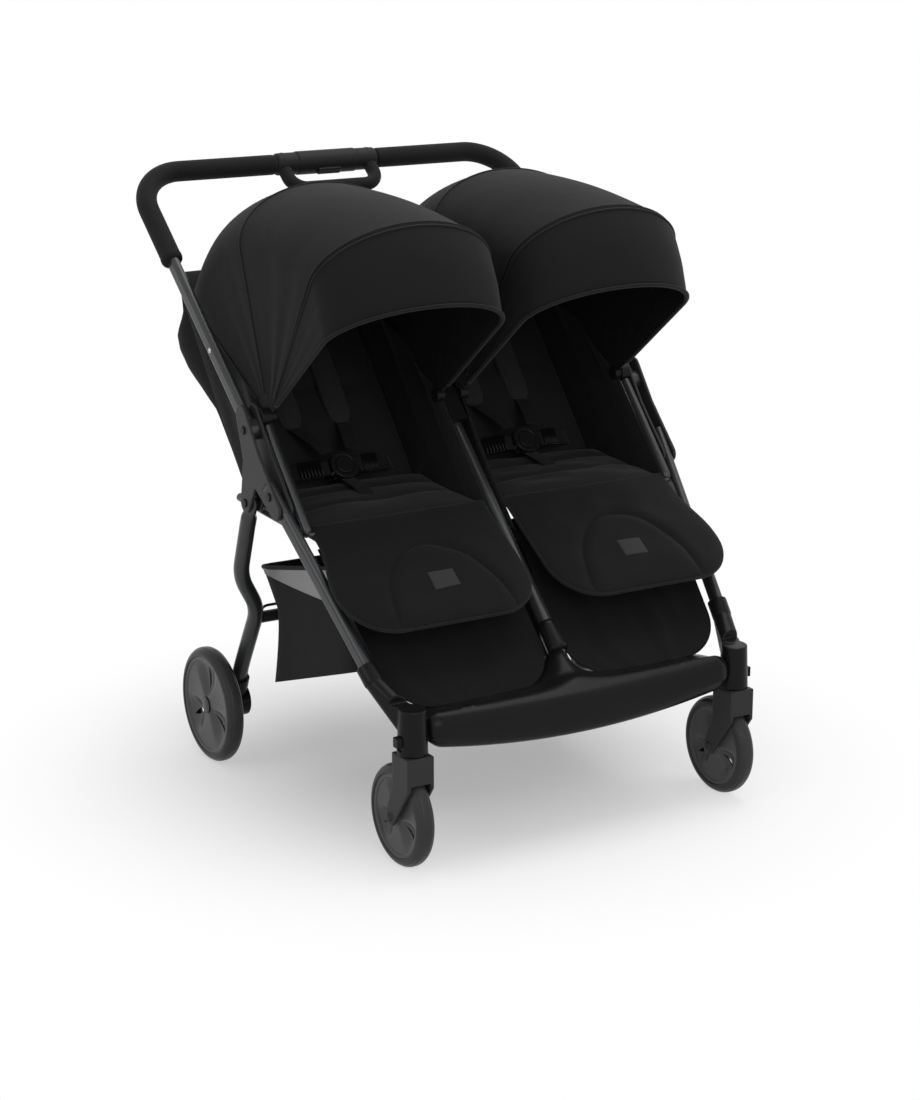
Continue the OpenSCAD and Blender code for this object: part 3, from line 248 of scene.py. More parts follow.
# Front crossbar: a satin black moulded beam between the two caster sockets. It
# bows down in the middle and carries the foot of the middle tube in a collar.
mm = 0.001
pins = {j["name"]: np.array(j["pos_m"]) for j in frame["joints"] if "pos_m" in j}
swivel = pins["caster_swivel_right"]
swivel_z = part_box("caster_socket_right")[0].z
beam_half = swivel[0] - 24.2 * mm
rib_x, rib_wide, rib_high = np.array([197, 205, 213]) * mm, 1.6 * mm, 1.4 * mm


def moulded(name, dark, light, rough, pit=0.00012):
    """Moulded plastic: fine sparkle texture, faint flow marks and slightly uneven gloss."""
    skin = Finish(name)
    flow = skin.noise(6.0, 3.0)
    fine = skin.noise(1400.0, 2.0)
    return skin.surface(
        Specular_IOR_Level=0.1,
        Base_Color=skin.shade(flow * 0.6 + fine * 0.4, dark, light),
        Roughness=rough + (flow - 0.5) * 0.16 + (fine - 0.5) * 0.1,
        Normal=skin.bump(fine, 0.35, pit),
    )


satin_black = moulded("satin_black_plastic", (0.006, 0.0064), (0.010, 0.0105), 0.27)


def signed_power(v, k):
    """Power of a value's size, with the value's sign."""
    return np.sign(v) * np.abs(v) ** k


def bell(d, width):
    """Bell curve: e to the minus square of a distance over a width."""
    return np.exp(-((d / width) ** 2))


def crossbar_points(n=161, m=96):
    """Rings along X. Each is a beam that is deepest in the middle, with a dished shelf behind its
    crest; towards the middle the shelf climbs to the tube in a saddle that narrows as it rises.
    Three fine ribs stand on the shelf beside each socket."""
    t = np.linspace(-1, 1, n)[:, None]
    half = (20 + 14 * (1 - t * t)) * mm
    yc = swivel[1] + 4 * mm - (34 * mm - half) / 2
    low = swivel_z + (-18 + 26 * t * t) * mm
    top, shelf = swivel_z + 60 * mm, swivel_z + 50 * mm
    tuck = np.clip((0.985 - np.abs(t)) / 0.2, 0, 1) ** 0.5
    back = yc + half + tuck * (swivel[1] + 73 * mm - yc - half)
    corner_y = [yc + half * k for k in (0.98, 0.7, 0, -0.66, -0.95, -1, -0.86, -0.5, 0, 0.6)]
    corner_y += [back - 4 * mm, back, back - 3 * mm, yc + half * 1.02]
    corner_z = [low + d * mm for d in (18, 5, 0, 3, 15)]
    corner_z += [top - d * mm for d in (34, 16, 4.5, 0)]
    corner_z += [shelf + d * mm for d in (5, 0, -3, -6, -8)]
    y, z = (
        smooth_ring(np.hstack([np.broadcast_to(c, t.shape) for c in corners]), m)
        for corners in (corner_y, corner_z)
    )
    x = np.broadcast_to(t * beam_half, y.shape)
    shrink = 1 - 0.3 * np.clip((np.abs(t) - 0.93) / 0.07, 0, 1) ** 2
    core = shelf - 14 * mm
    y, z = yc + (y - yc) * shrink, core + (z - core) * shrink
    upper = np.clip((z - (shelf - 7 * mm)) / (5 * mm), 0, 1)
    climb = np.clip((y - (swivel[1] - 14 * mm)) / (88 * mm), 0, 1)
    width = (24 + 46 * (1 - climb)) * mm
    saddle = 62 * mm * climb**1.5 / (1 + (x / width) ** 2) ** 1.9
    ribs = sum(bell(np.abs(x) - at, rib_wide) for at in rib_x)
    ribs = ribs * (np.abs(y - swivel[1] - 14 * mm) < 22 * mm)
    return np.stack([x, y, z + upper * (saddle + rib_high * ribs)], -1)


def smooth_ring(corner, m):
    """Closed curves through rows of corner values: periodic Catmull-Rom, m points each."""
    k = corner.shape[1]
    q = np.linspace(0, k, m, endpoint=False)
    i, f = q.astype(int), q % 1
    a, b, c, d = (corner[:, (i + step) % k] for step in (-1, 0, 1, 2))
    return b + 0.5 * f * (c - a + f * (2 * a - 5 * b + 4 * c - d + f * (3 * (b - c) + d - a)))


def capped(points):
    """Faces of closed rings with a fan over both ends; the ring's middle is added as a point."""
    n, m = points.shape[:2]
    faces = grid_faces(n, m, ring_v=True).tolist()
    ends = np.stack([points[0].mean(0), points[-1].mean(0)])
    j = np.arange(m)
    after, last = (j + 1) % m, (n - 1) * m
    faces += np.stack([np.full(m, n * m), after, j], 1).tolist()
    faces += np.stack([np.full(m, n * m + 1), last + j, last + after], 1).tolist()
    return np.vstack([points.reshape(-1, 3), ends]), faces


def recalculated(piece):
    """Welds doubles and turns every face outwards."""
    shape = bmesh.new()
    shape.from_mesh(piece.data)
    bmesh.ops.remove_doubles(shape, verts=shape.verts, dist=1e-6)
    bmesh.ops.recalc_face_normals(shape, faces=shape.faces)
    shape.to_mesh(piece.data)
    shape.free()
    return piece


def crisp(piece, degrees):
    """Marks edges sharper than an angle, so that flat faces stay flat."""
    piece.data.set_sharp_from_angle(angle=np.radians(degrees))


def ringed(path, u, w, a, b, sides):
    """Rings round a path: a times the cosine along u plus b times the sine along w."""
    q = np.linspace(0, 2 * np.pi, sides, endpoint=False)[:, None]
    a, b = (np.broadcast_to(r, len(path))[:, None, None] for r in (a, b))
    return path[:, None] + (np.cos(q) * u[:, None] * a + np.sin(q) * w[:, None] * b)


def swept(path, a, b, sides, ref):
    """Rings of an oval of half sizes a and b along a path: a lies across ref and the path."""
    t = unit(np.gradient(path, axis=0))
    u = unit(np.cross(ref, t))
    return ringed(path, u, np.cross(t, u), a, b, sides)


def lengths(path):
    """Distance along a path at each of its points."""
    return np.r_[0, np.cumsum(np.linalg.norm(np.diff(path, axis=0), axis=1))]


def evenly(path, count):
    """The same path with a number of points at equal distances."""
    length = lengths(path)
    even = np.linspace(0, length[-1], count)
    return np.stack([np.interp(even, length, path[:, k]) for k in range(3)], 1)


def bent(corners, radius, step=0.004):
    """Path through corner points: each inner corner is a parabola that starts radius before it."""
    p = np.asarray(corners, float)
    path = [p[:1]]
    for i in range(1, len(p) - 1):
        a, b = (p[i] + unit(p[k] - p[i]) * radius for k in (i - 1, i + 1))
        t = np.linspace(0, 1, 17)[:, None]
        path.append(a * (1 - t) ** 2 + 2 * p[i] * t * (1 - t) + b * t * t)
    path = np.vstack([*path, p[-1:]])
    return evenly(path, max(int(lengths(path)[-1] / step), 4))


def joined(name, parts, material):
    """One closed-surface object from several (points, faces) parts."""
    points, faces, start = [], [], 0
    for p, f in parts:
        points.append(np.asarray(p).reshape(-1, 3))
        faces += [[i + start for i in one] for one in f]
        start += len(points[-1])
    return recalculated(put(name, np.vstack(points), faces, material))


def fit(piece, body, node):
    """Puts a piece on a body, in place of a CAD node where one is named."""
    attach(piece, body)
    if node:
        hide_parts(node)


middle_foot = np.array([0, swivel[1] + 77 * mm, swivel_z + 109 * mm])
middle_head = np.array([0, 5 * mm, 608 * mm])
middle_dir = unit(middle_head - middle_foot)
collar_path = bent([middle_foot + d * mm * middle_dir for d in (-22, 10, 30)], 4 * mm)
collar_at, collar_size = [0, 0.3, 0.8, 0.97, 1], [17, 16.4, 15.6, 15.2, 13.5]
collar_r = np.interp(np.linspace(0, 1, len(collar_path)), collar_at, collar_size) * mm
collar = capped(swept(collar_path, collar_r, collar_r, 48, (1, 0, 0)))
crossbar = joined("crossbar", [capped(crossbar_points()), collar], satin_black)
fit(crossbar, "chassis", "front_crossbar")


# Moulded fittings: caster sockets, forks, side and middle brackets, hinge clamps,
# brake housings, pedal and locks. Each is one glass-filled nylon moulding with
# small radii on every edge.
def moulding(node, material, radius):
    """Copy of a CAD solid, welded, with rounded edges: a large radius remeshes and relaxes it."""
    source = frame["nodes"][node]
    points = np.empty(len(source.data.vertices) * 3)
    source.data.vertices.foreach_get("co", points)
    faces = [list(p.vertices) for p in source.data.polygons]
    piece = put(node + "_moulding", points, faces, material)
    shape = bmesh.new()
    shape.from_mesh(piece.data)
    bmesh.ops.remove_doubles(shape, verts=shape.verts, dist=2e-5)
    bmesh.ops.dissolve_limit(shape, angle_limit=0.02, verts=shape.verts, edges=shape.edges)
    shape.to_mesh(piece.data)
    shape.free()
    if radius > 1.5 * mm:
        skin = piece.modifiers.new("skin", "REMESH")
        skin.mode, skin.voxel_size, skin.use_smooth_shade = "VOXEL", radius / 2.6, True
        worn = piece.modifiers.new("worn", "SMOOTH")
        worn.factor, worn.iterations = 0.5, 14
    else:
        edge = piece.modifiers.new("edge", "BEVEL")
        edge.width, edge.segments, edge.limit_method, edge.angle_limit = radius, 3, "ANGLE", 0.6
        edge.use_clamp_overlap = True
        crisp(piece, 32)
    fit(piece, source["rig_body"], node)


fork_nylon = moulded("fork_nylon", (0.026, 0.0265), (0.040, 0.041), 0.34)
for side in ("left", "right"):
    moulding("caster_socket_" + side, satin_black, 2.6 * mm)
    moulding("caster_fork_" + side, fork_nylon, 2.8 * mm)
    moulding("side_bracket_" + side, fork_nylon, 2.0 * mm)
    moulding("brake_housing_" + side, satin_black, 1.5 * mm)
    moulding("caster_lock_" + side, satin_black, 1.2 * mm)
for node in ("centre_bracket", "hood_hinges", "brake_pedal"):
    moulding(node, satin_black, 1.5 * mm)


# Frame tubes: flat oval side tubes, a round middle tube, seat rails, push tubes,
# bent rear legs and a cross tube, all powder coated in dark gunmetal: slightly
# metallic, with a fine orange peel and worn, paler patches.
coat = Finish("gunmetal_powder_coat")
peel, wide = coat.noise(900.0, 1.0), coat.noise(9.0, 3.0)
gunmetal = coat.surface(
    Specular_IOR_Level=0.15,
    Base_Color=coat.shade(wide * 0.7 + peel * 0.3, (0.045, 0.046, 0.048), (0.064, 0.065, 0.067)),
    Metallic=0.55,
    Roughness=0.30 + (wide - 0.5) * 0.12,
    Normal=coat.bump(peel, 0.25, 0.00008),
)


def dress(node, material):
    """Gives a CAD node that keeps its own shape its finish."""
    solid = frame["nodes"][node]
    solid.data.materials.clear()
    solid.data.materials.append(material)


for node in ("front_tube_left", "front_tube_right", "centre_tube", "cross_tube", "push_bar"):
    dress(node, gunmetal)

fold, leg_pin = pins["frame_fold"], pins["rear_leg_fold"]
rear_axle, hood_pivot = pins["rear_wheel_spin_right"], pins["visor_fold_right"]
rest_hinge, back_hinge = pins["footrest_lift_right"], pins["back_recline_right"]
push_x, rail_x, stub_x = 364 * mm, 341 * mm, 300.9 * mm
rail_r, stub_r = 7 * mm, 4 * mm
leg_x = rear_axle[0] - 41 * mm
leg_corners = [
    leg_pin + [push_x, -8.5 * mm, 16.5 * mm],
    leg_pin + [push_x, 13.9 * mm, -27 * mm],
    leg_pin + [push_x - 10 * mm, 73 * mm, -142 * mm],
    [leg_x, leg_pin[1] + 102 * mm, leg_pin[2] - 212 * mm],
    [leg_x, rear_axle[1] - 27 * mm, rear_axle[2] + 64 * mm],
    [leg_x, rear_axle[1] - 6 * mm, rear_axle[2] + 15 * mm],
]
leg_path = bent(leg_corners, 30 * mm, 3 * mm)
leg_down = np.linalg.norm(leg_path - leg_pin - [push_x, 0, 0], axis=1) / mm
above_pin = np.where(leg_path[:, 2] > leg_pin[2], leg_down, 0)
round_end = np.sqrt(np.clip(15**2 - above_pin**2, 4, None))
leg_a = np.where(leg_down < 17, round_end, 13) * mm
leg_b = np.interp(leg_down, [19, 31], [7.5, 13]) * mm
rail_corners = [
    hood_pivot + [rail_x, -11 * mm, -12 * mm],
    rest_hinge + [rail_x, 0, 0],
    back_hinge + [rail_x, 7 * mm, 0],
]
rail_path = bent(rail_corners, 14 * mm, 3 * mm)
mirror = np.array([-1, 1, 1])
both = (("left", mirror), ("right", 1))
for side, sign in both:
    leg = capped(swept(leg_path, leg_a, leg_b, 32, (1, 0, 0)) * sign)
    leg = joined("rear_leg_tube_" + side, [leg], gunmetal)
    fit(leg, "rear_frame", "rear_leg_" + side)
    rail = [capped(swept(rail_path, rail_r, rail_r, 28, (1, 0, 0)) * sign)]
    for hinge in (rest_hinge, back_hinge):
        stub = np.linspace(hinge + [stub_x, 0, 0], hinge + [rail_x, 0, 0], 6)
        rail.append(capped(swept(stub, stub_r, stub_r, 20, (0, 0, 1)) * sign))
    rail = joined("seat_rail_tube_" + side, rail, gunmetal)
    fit(rail, "chassis", "seat_rail_" + side)


# Pins and rivets: blackened pins in the brackets, and turned steel rivets with
# domed heads, left bright, in the push tubes and at the hood pivots.
steel = Finish("bright_rivet_steel")
fine = steel.noise(700.0, 2.0)
bright_steel = steel.surface(
    Base_Color=steel.shade(fine, (0.36, 0.37), (0.52, 0.53)),
    Metallic=1.0,
    Roughness=0.26 + fine * 0.14,
)
moulding("frame_pins", satin_black, 0.9 * mm)


def dome(centre, axis, radius, rise):
    """Domed head: rings of a flattened half ball on a point, facing along an axis."""
    axis = unit(axis)
    q = np.linspace(0, np.pi / 2 * 0.97, 8)
    path = np.asarray(centre) + axis * (np.sin(q) * rise)[:, None]
    half = np.cos(q) * radius
    u = unit(np.cross((0, 0, 1) if abs(axis[2]) < 0.9 else (1, 0, 0), axis))
    u, w = (np.broadcast_to(v, path.shape) for v in (u, np.cross(axis, u)))
    return capped(ringed(path, u, w, half, half, 28))


hub_low, hub_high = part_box("fold_hub")
handle = np.array([0, (hub_low.y + hub_high.y) / 2, (hub_low.z + hub_high.z) / 2])
push_dir = unit(handle - fold)
push_face = np.array([0, -push_dir[2], push_dir[1]])
tube_rivet, pivot_rivet = fold + push_dir * 165 * mm, hood_pivot + [0, 2 * mm, 0]
for name, body, at, x, radius, rise in (
    ("push_tube_rivets", "push_frame", tube_rivet, push_x + 7.4 * mm, 4.6 * mm, 2.2 * mm),
    ("hood_pivot_rivets", "chassis", pivot_rivet, 351.2 * mm, 5.2 * mm, 2.6 * mm),
):
    heads = [dome(at + [s * x, 0, 0], (s, 0, 0), radius, rise) for s in (-1, 1)]
    piece = joined(name, heads, bright_steel)
    fit(piece, body, None)


# Push bar: black foam sleeves over the bar and down both bends, ending in a
# rolled lip on the push tubes. The foam has fine open pores in a dull skin.
cell = Finish("black_grip_foam")
pore = cell.node("TexVoronoi", {"Vector": cell.place(), "Scale": 900.0})
wide = cell.noise(14.0, 3.0)
black_foam = cell.surface(
    Specular_IOR_Level=0.15,
    Base_Color=cell.shade(wide * 0.6 + pore * 0.5, (0.0055, 0.0058), (0.0098, 0.0102)),
    Roughness=0.82 + (wide - 0.5) * 0.16,
    Normal=cell.bump(pore, 0.5, 0.0002),
    Sheen_Weight=0.05,
    Sheen_Roughness=0.5,
)
bar_turn, grip_tail = 84 * mm, 116 * mm
corner = handle + [push_x, 0, 0]
q = np.linspace(0, np.pi / 2, 40)[:, None]
bend_mid = corner - [bar_turn, 0, 0] - push_dir * bar_turn
bend_end, grip_low = (corner - push_dir * (bar_turn + d) for d in (3 * mm, grip_tail))
grip_path = np.vstack(
    [
        np.linspace(handle + [98.5 * mm, 0, 0], corner - [bar_turn + 3 * mm, 0, 0], 60),
        bend_mid + bar_turn * (np.sin(q) * [[1, 0, 0]] + np.cos(q) * push_dir),
        np.linspace(bend_end, grip_low, 40),
    ]
)
along = lengths(grip_path) / mm
left_over = along[-1] - along
grip_r = 17.4 - 2.6 * bell(along, 2.2) - 2.8 * bell(left_over, 2.4) + 0.9 * bell(left_over - 9, 5)
for side, sign in both:
    sleeve = capped(swept(grip_path, grip_r * mm, grip_r * mm, 40, push_face) * sign)
    sleeve = joined("foam_grip_" + side, [sleeve], black_foam)
    fit(sleeve, "push_frame", "grip_" + side)


# Fold hub: a moulded sleeve in the middle of the bar with a stepped centre part,
# two screws and a push button under it; the grab loop below is foam covered.
hub_plastic = moulded("hub_plastic", (0.012, 0.0125), (0.020, 0.021), 0.46)
hub_s = np.linspace(-98, 98, 197)
off = np.abs(hub_s)
hub_r = 19.2 + 1.3 * (off < 58) - 1.1 * bell(off - 58, 1.4)
hub_r = (hub_r - 3.0 * bell(off - 98, 2.5) + 0.7 * bell(off - 84, 3.0)) * mm
hub_path = handle + hub_s[:, None] * [mm, 0, 0]
hub_parts = [capped(swept(hub_path, hub_r, hub_r, 56, push_face))]
for s in (-1, 1):
    screw = handle + [s * 66 * mm, 0, 0] + push_dir * 18.6 * mm
    hub_parts.append(dome(screw, push_dir, 6 * mm, 2.4 * mm))
hub_sleeve = joined("fold_hub_sleeve", hub_parts, hub_plastic)
fit(hub_sleeve, "push_frame", "fold_hub")
moulding("fold_button", satin_black, 1.4 * mm)

loop_half, loop_turn, loop_leg, loop_r = 84 * mm, 28 * mm, 31.5 * mm, 11.9 * mm
straight = np.linspace([loop_half, -17.5 * mm], [loop_half, 1 * mm - loop_leg], 14)
q = np.linspace(0, np.pi / 2, 30)
turn_x, turn_drop = loop_half - loop_turn + loop_turn * np.cos(q), -loop_leg - loop_turn * np.sin(q)
half_loop = np.vstack([straight, np.stack([turn_x, turn_drop], 1)])
loop_x, loop_drop = np.vstack([half_loop, (half_loop * [-1, 1])[::-1]]).T[..., None]
loop_path = handle + loop_x * [1, 0, 0] + loop_drop * push_dir
loop = capped(swept(loop_path, loop_r, loop_r, 36, push_face))
fit(joined("grab_loop_sleeve", [loop], black_foam), "push_frame", "grab_loop")


# Wheels: foam-filled tyres of dusty dark rubber, their round tread with two fine
# grooves, on dished nylon rims whose three broad spokes leave narrow slits.
rubber = Finish("dark_tyre_rubber")
fine, dust = rubber.noise(1100.0, 2.0), rubber.noise(30.0, 4.0)
dark_rubber = rubber.surface(
    Specular_IOR_Level=0.1,
    Base_Color=rubber.shade(dust * 0.8 + fine * 0.2, (0.030, 0.031), (0.050, 0.051)),
    Roughness=0.30 + (dust - 0.5) * 0.2,
    Normal=rubber.bump(fine, 0.3, 0.00015),
)
rim_nylon = moulded("rim_nylon", (0.075, 0.076), (0.105, 0.107), 0.25)


def turned(profile, centre, sides=128):
    """Surface of revolution round X and its faces: profile holds (x, radius) pairs in order."""
    q = np.linspace(0, 2 * np.pi, sides, endpoint=False)
    x, r = np.asarray(profile).T[..., None]
    points = np.stack([x + 0 * q, r * np.cos(q), r * np.sin(q)], -1)
    return points + centre, grid_faces(len(profile), sides, ring_v=True)


def tyre_profile(radius, width=30 * mm, height=15 * mm, shoulder=13 * mm):
    """Closed outline from bead to bead: straight sides, round shoulders, two fine grooves."""
    q = np.linspace(0, np.pi / 2, 18)
    x = np.r_[width / 2, width / 2 - shoulder + shoulder * np.cos(q)]
    r = np.r_[radius - height, radius - shoulder + shoulder * np.sin(q)]
    x, r = np.r_[x, -x[::-1], x[0]], np.r_[r, r[::-1], r[0]]
    tread = bell(np.abs(x) - 9 * mm, 0.9 * mm) * (r > radius - 6 * mm)
    return np.stack([x, r - 0.8 * mm * tread], 1)


def spoked_face(r_hub, r_lip, out, centre, facing, web=1.8 * mm):
    """Three spokes: each strip spans an angle of 60 degrees either way at hub and lip and is
    narrower between, so neighbours leave a slit; the face falls to a pocket there."""
    u = np.linspace(0, 1, 36)[:, None]
    v = np.linspace(-1, 1, 41)[None, :]
    slit_from, slit_to = 0.16, 0.84
    waist = np.clip((u - slit_from) / (slit_to - slit_from), 0, 1)
    slit = 0.085 * np.sin(np.pi * waist) ** 0.7 * ((u > slit_from) & (u < slit_to))
    half = np.radians(60) * (1 - slit)
    r = r_hub + (r_lip - r_hub) * u
    pocket = np.clip((np.abs(v) - 0.4) / 0.52, 0, 1)
    pocket = pocket**2 * (3 - 2 * pocket) * np.sin(np.pi * u) ** 0.6
    dish = out - 1.2 * mm * np.sin(np.pi * u) - 8.2 * mm * pocket
    parts = []
    for k in range(3):
        a = np.radians(120 * k - 90) + half * v
        front, back = (
            np.stack([facing * (dish - d), r * np.cos(a), r * np.sin(a)], -1) for d in (0, web)
        )
        n, m = a.shape
        faces = grid_faces(n, m).tolist() + (grid_faces(n, m)[:, ::-1] + n * m).tolist()
        i = np.arange(n - 1) * m
        for j in (0, m - 1):
            wall = [i + j, i + m + j, i + m + j + n * m, i + j + n * m]
            faces += np.stack(wall, 1).tolist()
        parts.append((np.concatenate([front, back]).reshape(-1, 3) + centre, faces))
    return parts


def wheel(end, side, axle):
    """One wheel: tyre, rim ring with a rolled lip, spoked faces and a hub barrel with a cap."""
    name, radius = end + "_" + side, axle[2]
    tyre = joined("tyre_" + name, [turned(tyre_profile(radius), axle)], dark_rubber)
    r = radius - 15 * mm
    edge = np.array([[12, 0.2], [13.4, 0.6], [13.6, 3], [12.6, 6], [9, 8]]) * mm
    lip = np.vstack([edge, edge[::-1] * [-1, 1], edge[:1]]) * [1, -1] + [0, r]
    parts = [turned(lip, axle)]
    for facing in (1, -1):
        parts += spoked_face(13 * mm, r - 5.5 * mm, 11.5 * mm, axle, facing)
    cap = np.array([[15.6, 0.4], [15.4, 8], [14.6, 11], [13, 13.5]])
    barrel = np.vstack([cap, [[0, 14.2]], cap[::-1] * [-1, 1]]) * mm
    parts.append(turned(barrel, axle, 48))
    rim = joined("rim_" + name, parts, rim_nylon)
    crisp(rim, 38)
    body = end + "_wheel_" + side
    fit(tyre, body, end + "_tyre_" + side)
    fit(rim, body, end + "_rim_" + side)


front_axle = pins["front_wheel_spin_right"]
for side, sign in both:
    wheel("front", side, front_axle * sign)
    wheel("rear", side, rear_axle * sign)


# Hoods: one for each seat, three panels of black woven polyester with a dark
# lining, sewn over wire bows that fan out from the pivot, piped at the middle bow
# and bound along the front hem.
def woven(name, dark, light, pitch=1.1 * mm, fuzz=0.25):
    """Woven cloth: two crossing sets of threads in UV metres, uneven dye, a little sheen."""
    cloth = Finish(name)
    at = cloth.node("TexCoord", out="UV")
    scale = {0: at, "Scale": 2 * np.pi / pitch}
    turns = cloth.node("VectorMath", scale, operation="SCALE")
    warp, weft = (
        cloth.node("Math", {0: cloth.node("SeparateXYZ", {0: turns}, k)}, operation="SINE")
        for k in (0, 1)
    )
    thread = warp * weft * 0.5 + 0.5
    dye = cloth.noise(7.0, 4.0)
    slub = cloth.noise(260.0, 2.0)
    crease = cloth.noise(16.0, 3.0, 0.55)
    soft = cloth.bump(crease, 0.22, 0.006)
    return cloth.surface(
        Specular_IOR_Level=0.15,
        Base_Color=cloth.shade(dye * 0.5 + slub * 0.3 + thread * 0.2, dark, light),
        Roughness=0.86 + (slub - 0.5) * 0.12,
        Normal=cloth.bump(thread * 0.7 + slub * 0.3, 0.35, 0.0004, soft),
        Sheen_Weight=fuzz,
        Sheen_Roughness=0.45,
    )


hood_cloth = woven("hood_cloth", (0.0056, 0.0059), (0.0096, 0.0100), fuzz=0.05)
lining = woven("dark_lining", (0.003, 0.0032), (0.006, 0.0063), fuzz=0.02)
binding = woven("bound_edge_tape", (0.007, 0.0074), (0.012, 0.0125), 0.8 * mm, 0.08)


def border(n, m):
    """Indices round the border of a grid of n by m points."""
    i, j = np.arange(n), np.arange(m)
    return np.r_[i * m, (n - 1) * m + j[1:], i[-2::-1] * m + m - 1, j[-2:0:-1]]


def shell(name, outer, inner, material):
    """Closed sheet between two grids of points: a second material goes inside; UV in metres."""
    n, m = outer.shape[:2]
    top = grid_faces(n, m)
    loop = border(n, m)
    after = np.roll(loop, -1)
    rim = np.stack([loop, after, after + n * m, loop + n * m], 1)
    faces = np.vstack([top, top[:, ::-1] + n * m, rim])
    piece = put(name, np.concatenate([outer, inner]), faces, material)
    if isinstance(material, list):
        side = np.repeat([0, 1, 0], [len(top), len(top), len(rim)])
        piece.data.polygons.foreach_set("material_index", side)
    flat = np.meshgrid(lengths(outer[:, m // 2]), lengths(outer[n // 2]), indexing="ij")
    lay_uv(piece, np.tile(np.stack(flat, -1).reshape(-1, 2), (2, 1)))
    return recalculated(piece)


def lay_uv(piece, uv):
    """Gives each point of a mesh its place on the flat cloth."""
    corner = np.empty(len(piece.data.loops), int)
    piece.data.loops.foreach_get("vertex_index", corner)
    flat = piece.data.uv_layers.new(name="flat")
    flat.data.foreach_set("uv", np.asarray(uv)[corner].ravel())


seat_c, seat_half = 176.5 * mm, 156.5 * mm
bow_a = np.radians([27, 70.9, 122.6, 141.7])
bow_r = np.array([398, 364, 377, 321]) * mm
hood_r0 = 12.6 * mm


def hood_points(t, s, thin=0.0):
    """Hood: legs of each bow rise straight, then turn in half an ellipse. Between bows the cloth
    swells a little, and shallow creases run out from the pivot and fade over the top."""
    t, s = np.broadcast_arrays(t, s)
    q = np.pi * np.clip((t - 0.25) / 0.5, 0, 1)
    x, side = np.cos(q), np.minimum(t, 1 - t)
    leg = 0.72
    rise = np.where((t < 0.25) | (t > 0.75), leg * side / 0.25, leg + (1 - leg) * np.sin(q))
    k = np.clip(s.astype(int), 0, 2)
    f = s - k
    reach = hood_r0 + (bow_r - thin - hood_r0) * rise[..., None]
    fan = np.stack([reach * np.cos(bow_a), reach * np.sin(bow_a)], -1)
    a, b = (
        np.take_along_axis(fan, (k + one)[..., None, None], -2)[..., 0, :] for one in (0, 1)
    )
    yz = a * (1 - f)[..., None] + b * f[..., None]
    turn = bow_a[k] * (1 - f) + bow_a[k + 1] * f
    arc = np.sin(np.pi * t)
    out = np.sin(np.pi * f) * arc * np.where(k == 0, 33 * mm, 9 * mm * arc)
    fade = np.clip(side / 0.06, 0, 1) * bell(side, 0.26) * np.sin(np.pi * f) ** 0.5
    crease = np.sin(7.0 * f + 9 * f * f + 5 * side) + 0.5 * np.sin(19 * f + 11 * side)
    inward = (1.1 * mm * crease * np.where(k == 1, 1.0, 0.5) - 1.6 * mm) * fade
    x = seat_c + (seat_half - thin) * x + inward * np.sign(x)
    yz = yz + out[..., None] * np.stack([np.cos(turn), np.sin(turn)], -1)
    return np.stack([x, hood_pivot[1] + yz[..., 0], hood_pivot[2] + yz[..., 1]], -1)


t_line = np.linspace(0, 1, 121)[:, None]
ends = {"back": (0.0, 1.0, 40), "middle": (1.0, 1.996, 52), "front": (2.004, 3.0, 24)}
for side, sign in both:
    visor = "visor_" + side
    panels = {}
    for part, (s0, s1, n) in ends.items():
        s_line = np.linspace(s0, s1, n)[None, :]
        outer, inner = (hood_points(t_line, s_line, thin) * sign for thin in (0, 3 * mm))
        panels[part] = shell("hood_" + part + "_panel_" + side, outer, inner, [hood_cloth, lining])
        size = lengths(outer[:, n // 2])[-1], lengths(outer[60])[-1]
    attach(panels["front"], visor)
    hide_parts("hood_shell_" + side)
    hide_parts("hood_visor_" + side)
    reach = 300 * mm
    low, high = (hood_pivot + reach * np.array([0, np.cos(a), np.sin(a)]) for a in bow_a[1:3])
    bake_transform(panels["middle"])
    for part, body, seams in (
        ("rear_bow", "chassis", [(1.0, 2.2, 1.0)]),
        ("visor", visor, [(1.975, 2.0, 1.0), (2.03, 2.0, 1.0), (3.0, 4.2, 0.62)]),
        ("hem", None, [(0.0, 2.4, 1.0)]),
    ):
        welts = []
        for s, r, flat in seams:
            line = hood_points(t_line[3:-3, 0], np.full(115, s)) * sign
            a = np.interp(s, range(4), bow_a)
            ref = (0, -np.sin(a), np.cos(a))
            welts.append(capped(swept(line, r * mm, r * mm * flat, 14, ref)))
        piping = joined("hood_piping_" + part + "_" + side, welts, binding)
        if body:
            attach(piping, body)
    for piece in (panels["back"], piping):
        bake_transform(piece)


# Seats: each has a padded base, a backrest with a full cloth pouch behind it, a leg
# rest with piped rim and arched seam, a cloth panel behind the calves and hanging
# side walls. All are sewn from the same black polyester over foam; its colour is
# painted lighter on the seat base and backrest face (painted light) and darker on
# the leg rest and calf panel (painted shade).
# The seat base and backrest face cloth is the same polyester painted lighter: painted light in the
# shade under the hood.
seat_cloth = woven("seat_cloth", (0.012, 0.0125), (0.019, 0.0195), fuzz=0.06)
# The leg rest and calf panel cloth is the same polyester painted darker: painted shade standing in
# for less light from the front lamp.
rest_cloth_painted_shade = woven("leg_rest_cloth", (0.0040, 0.0043), (0.0070, 0.0074), fuzz=0.04)
patch_cloth = woven("bare_patch", (0.030, 0.031), (0.042, 0.043), 0.7 * mm, 0.05)
side_cloth = woven("side_wall_cloth", (0.007, 0.0073), (0.012, 0.0125), fuzz=0.05)


def turned_x(points, degrees, at):
    """Points turned about X and moved to a place."""
    c, s = np.cos(np.radians(degrees)), np.sin(np.radians(degrees))
    x, y, z = np.moveaxis(points, -1, 0)
    return np.stack([x, y * c - z * s, y * s + z * c], -1) + at


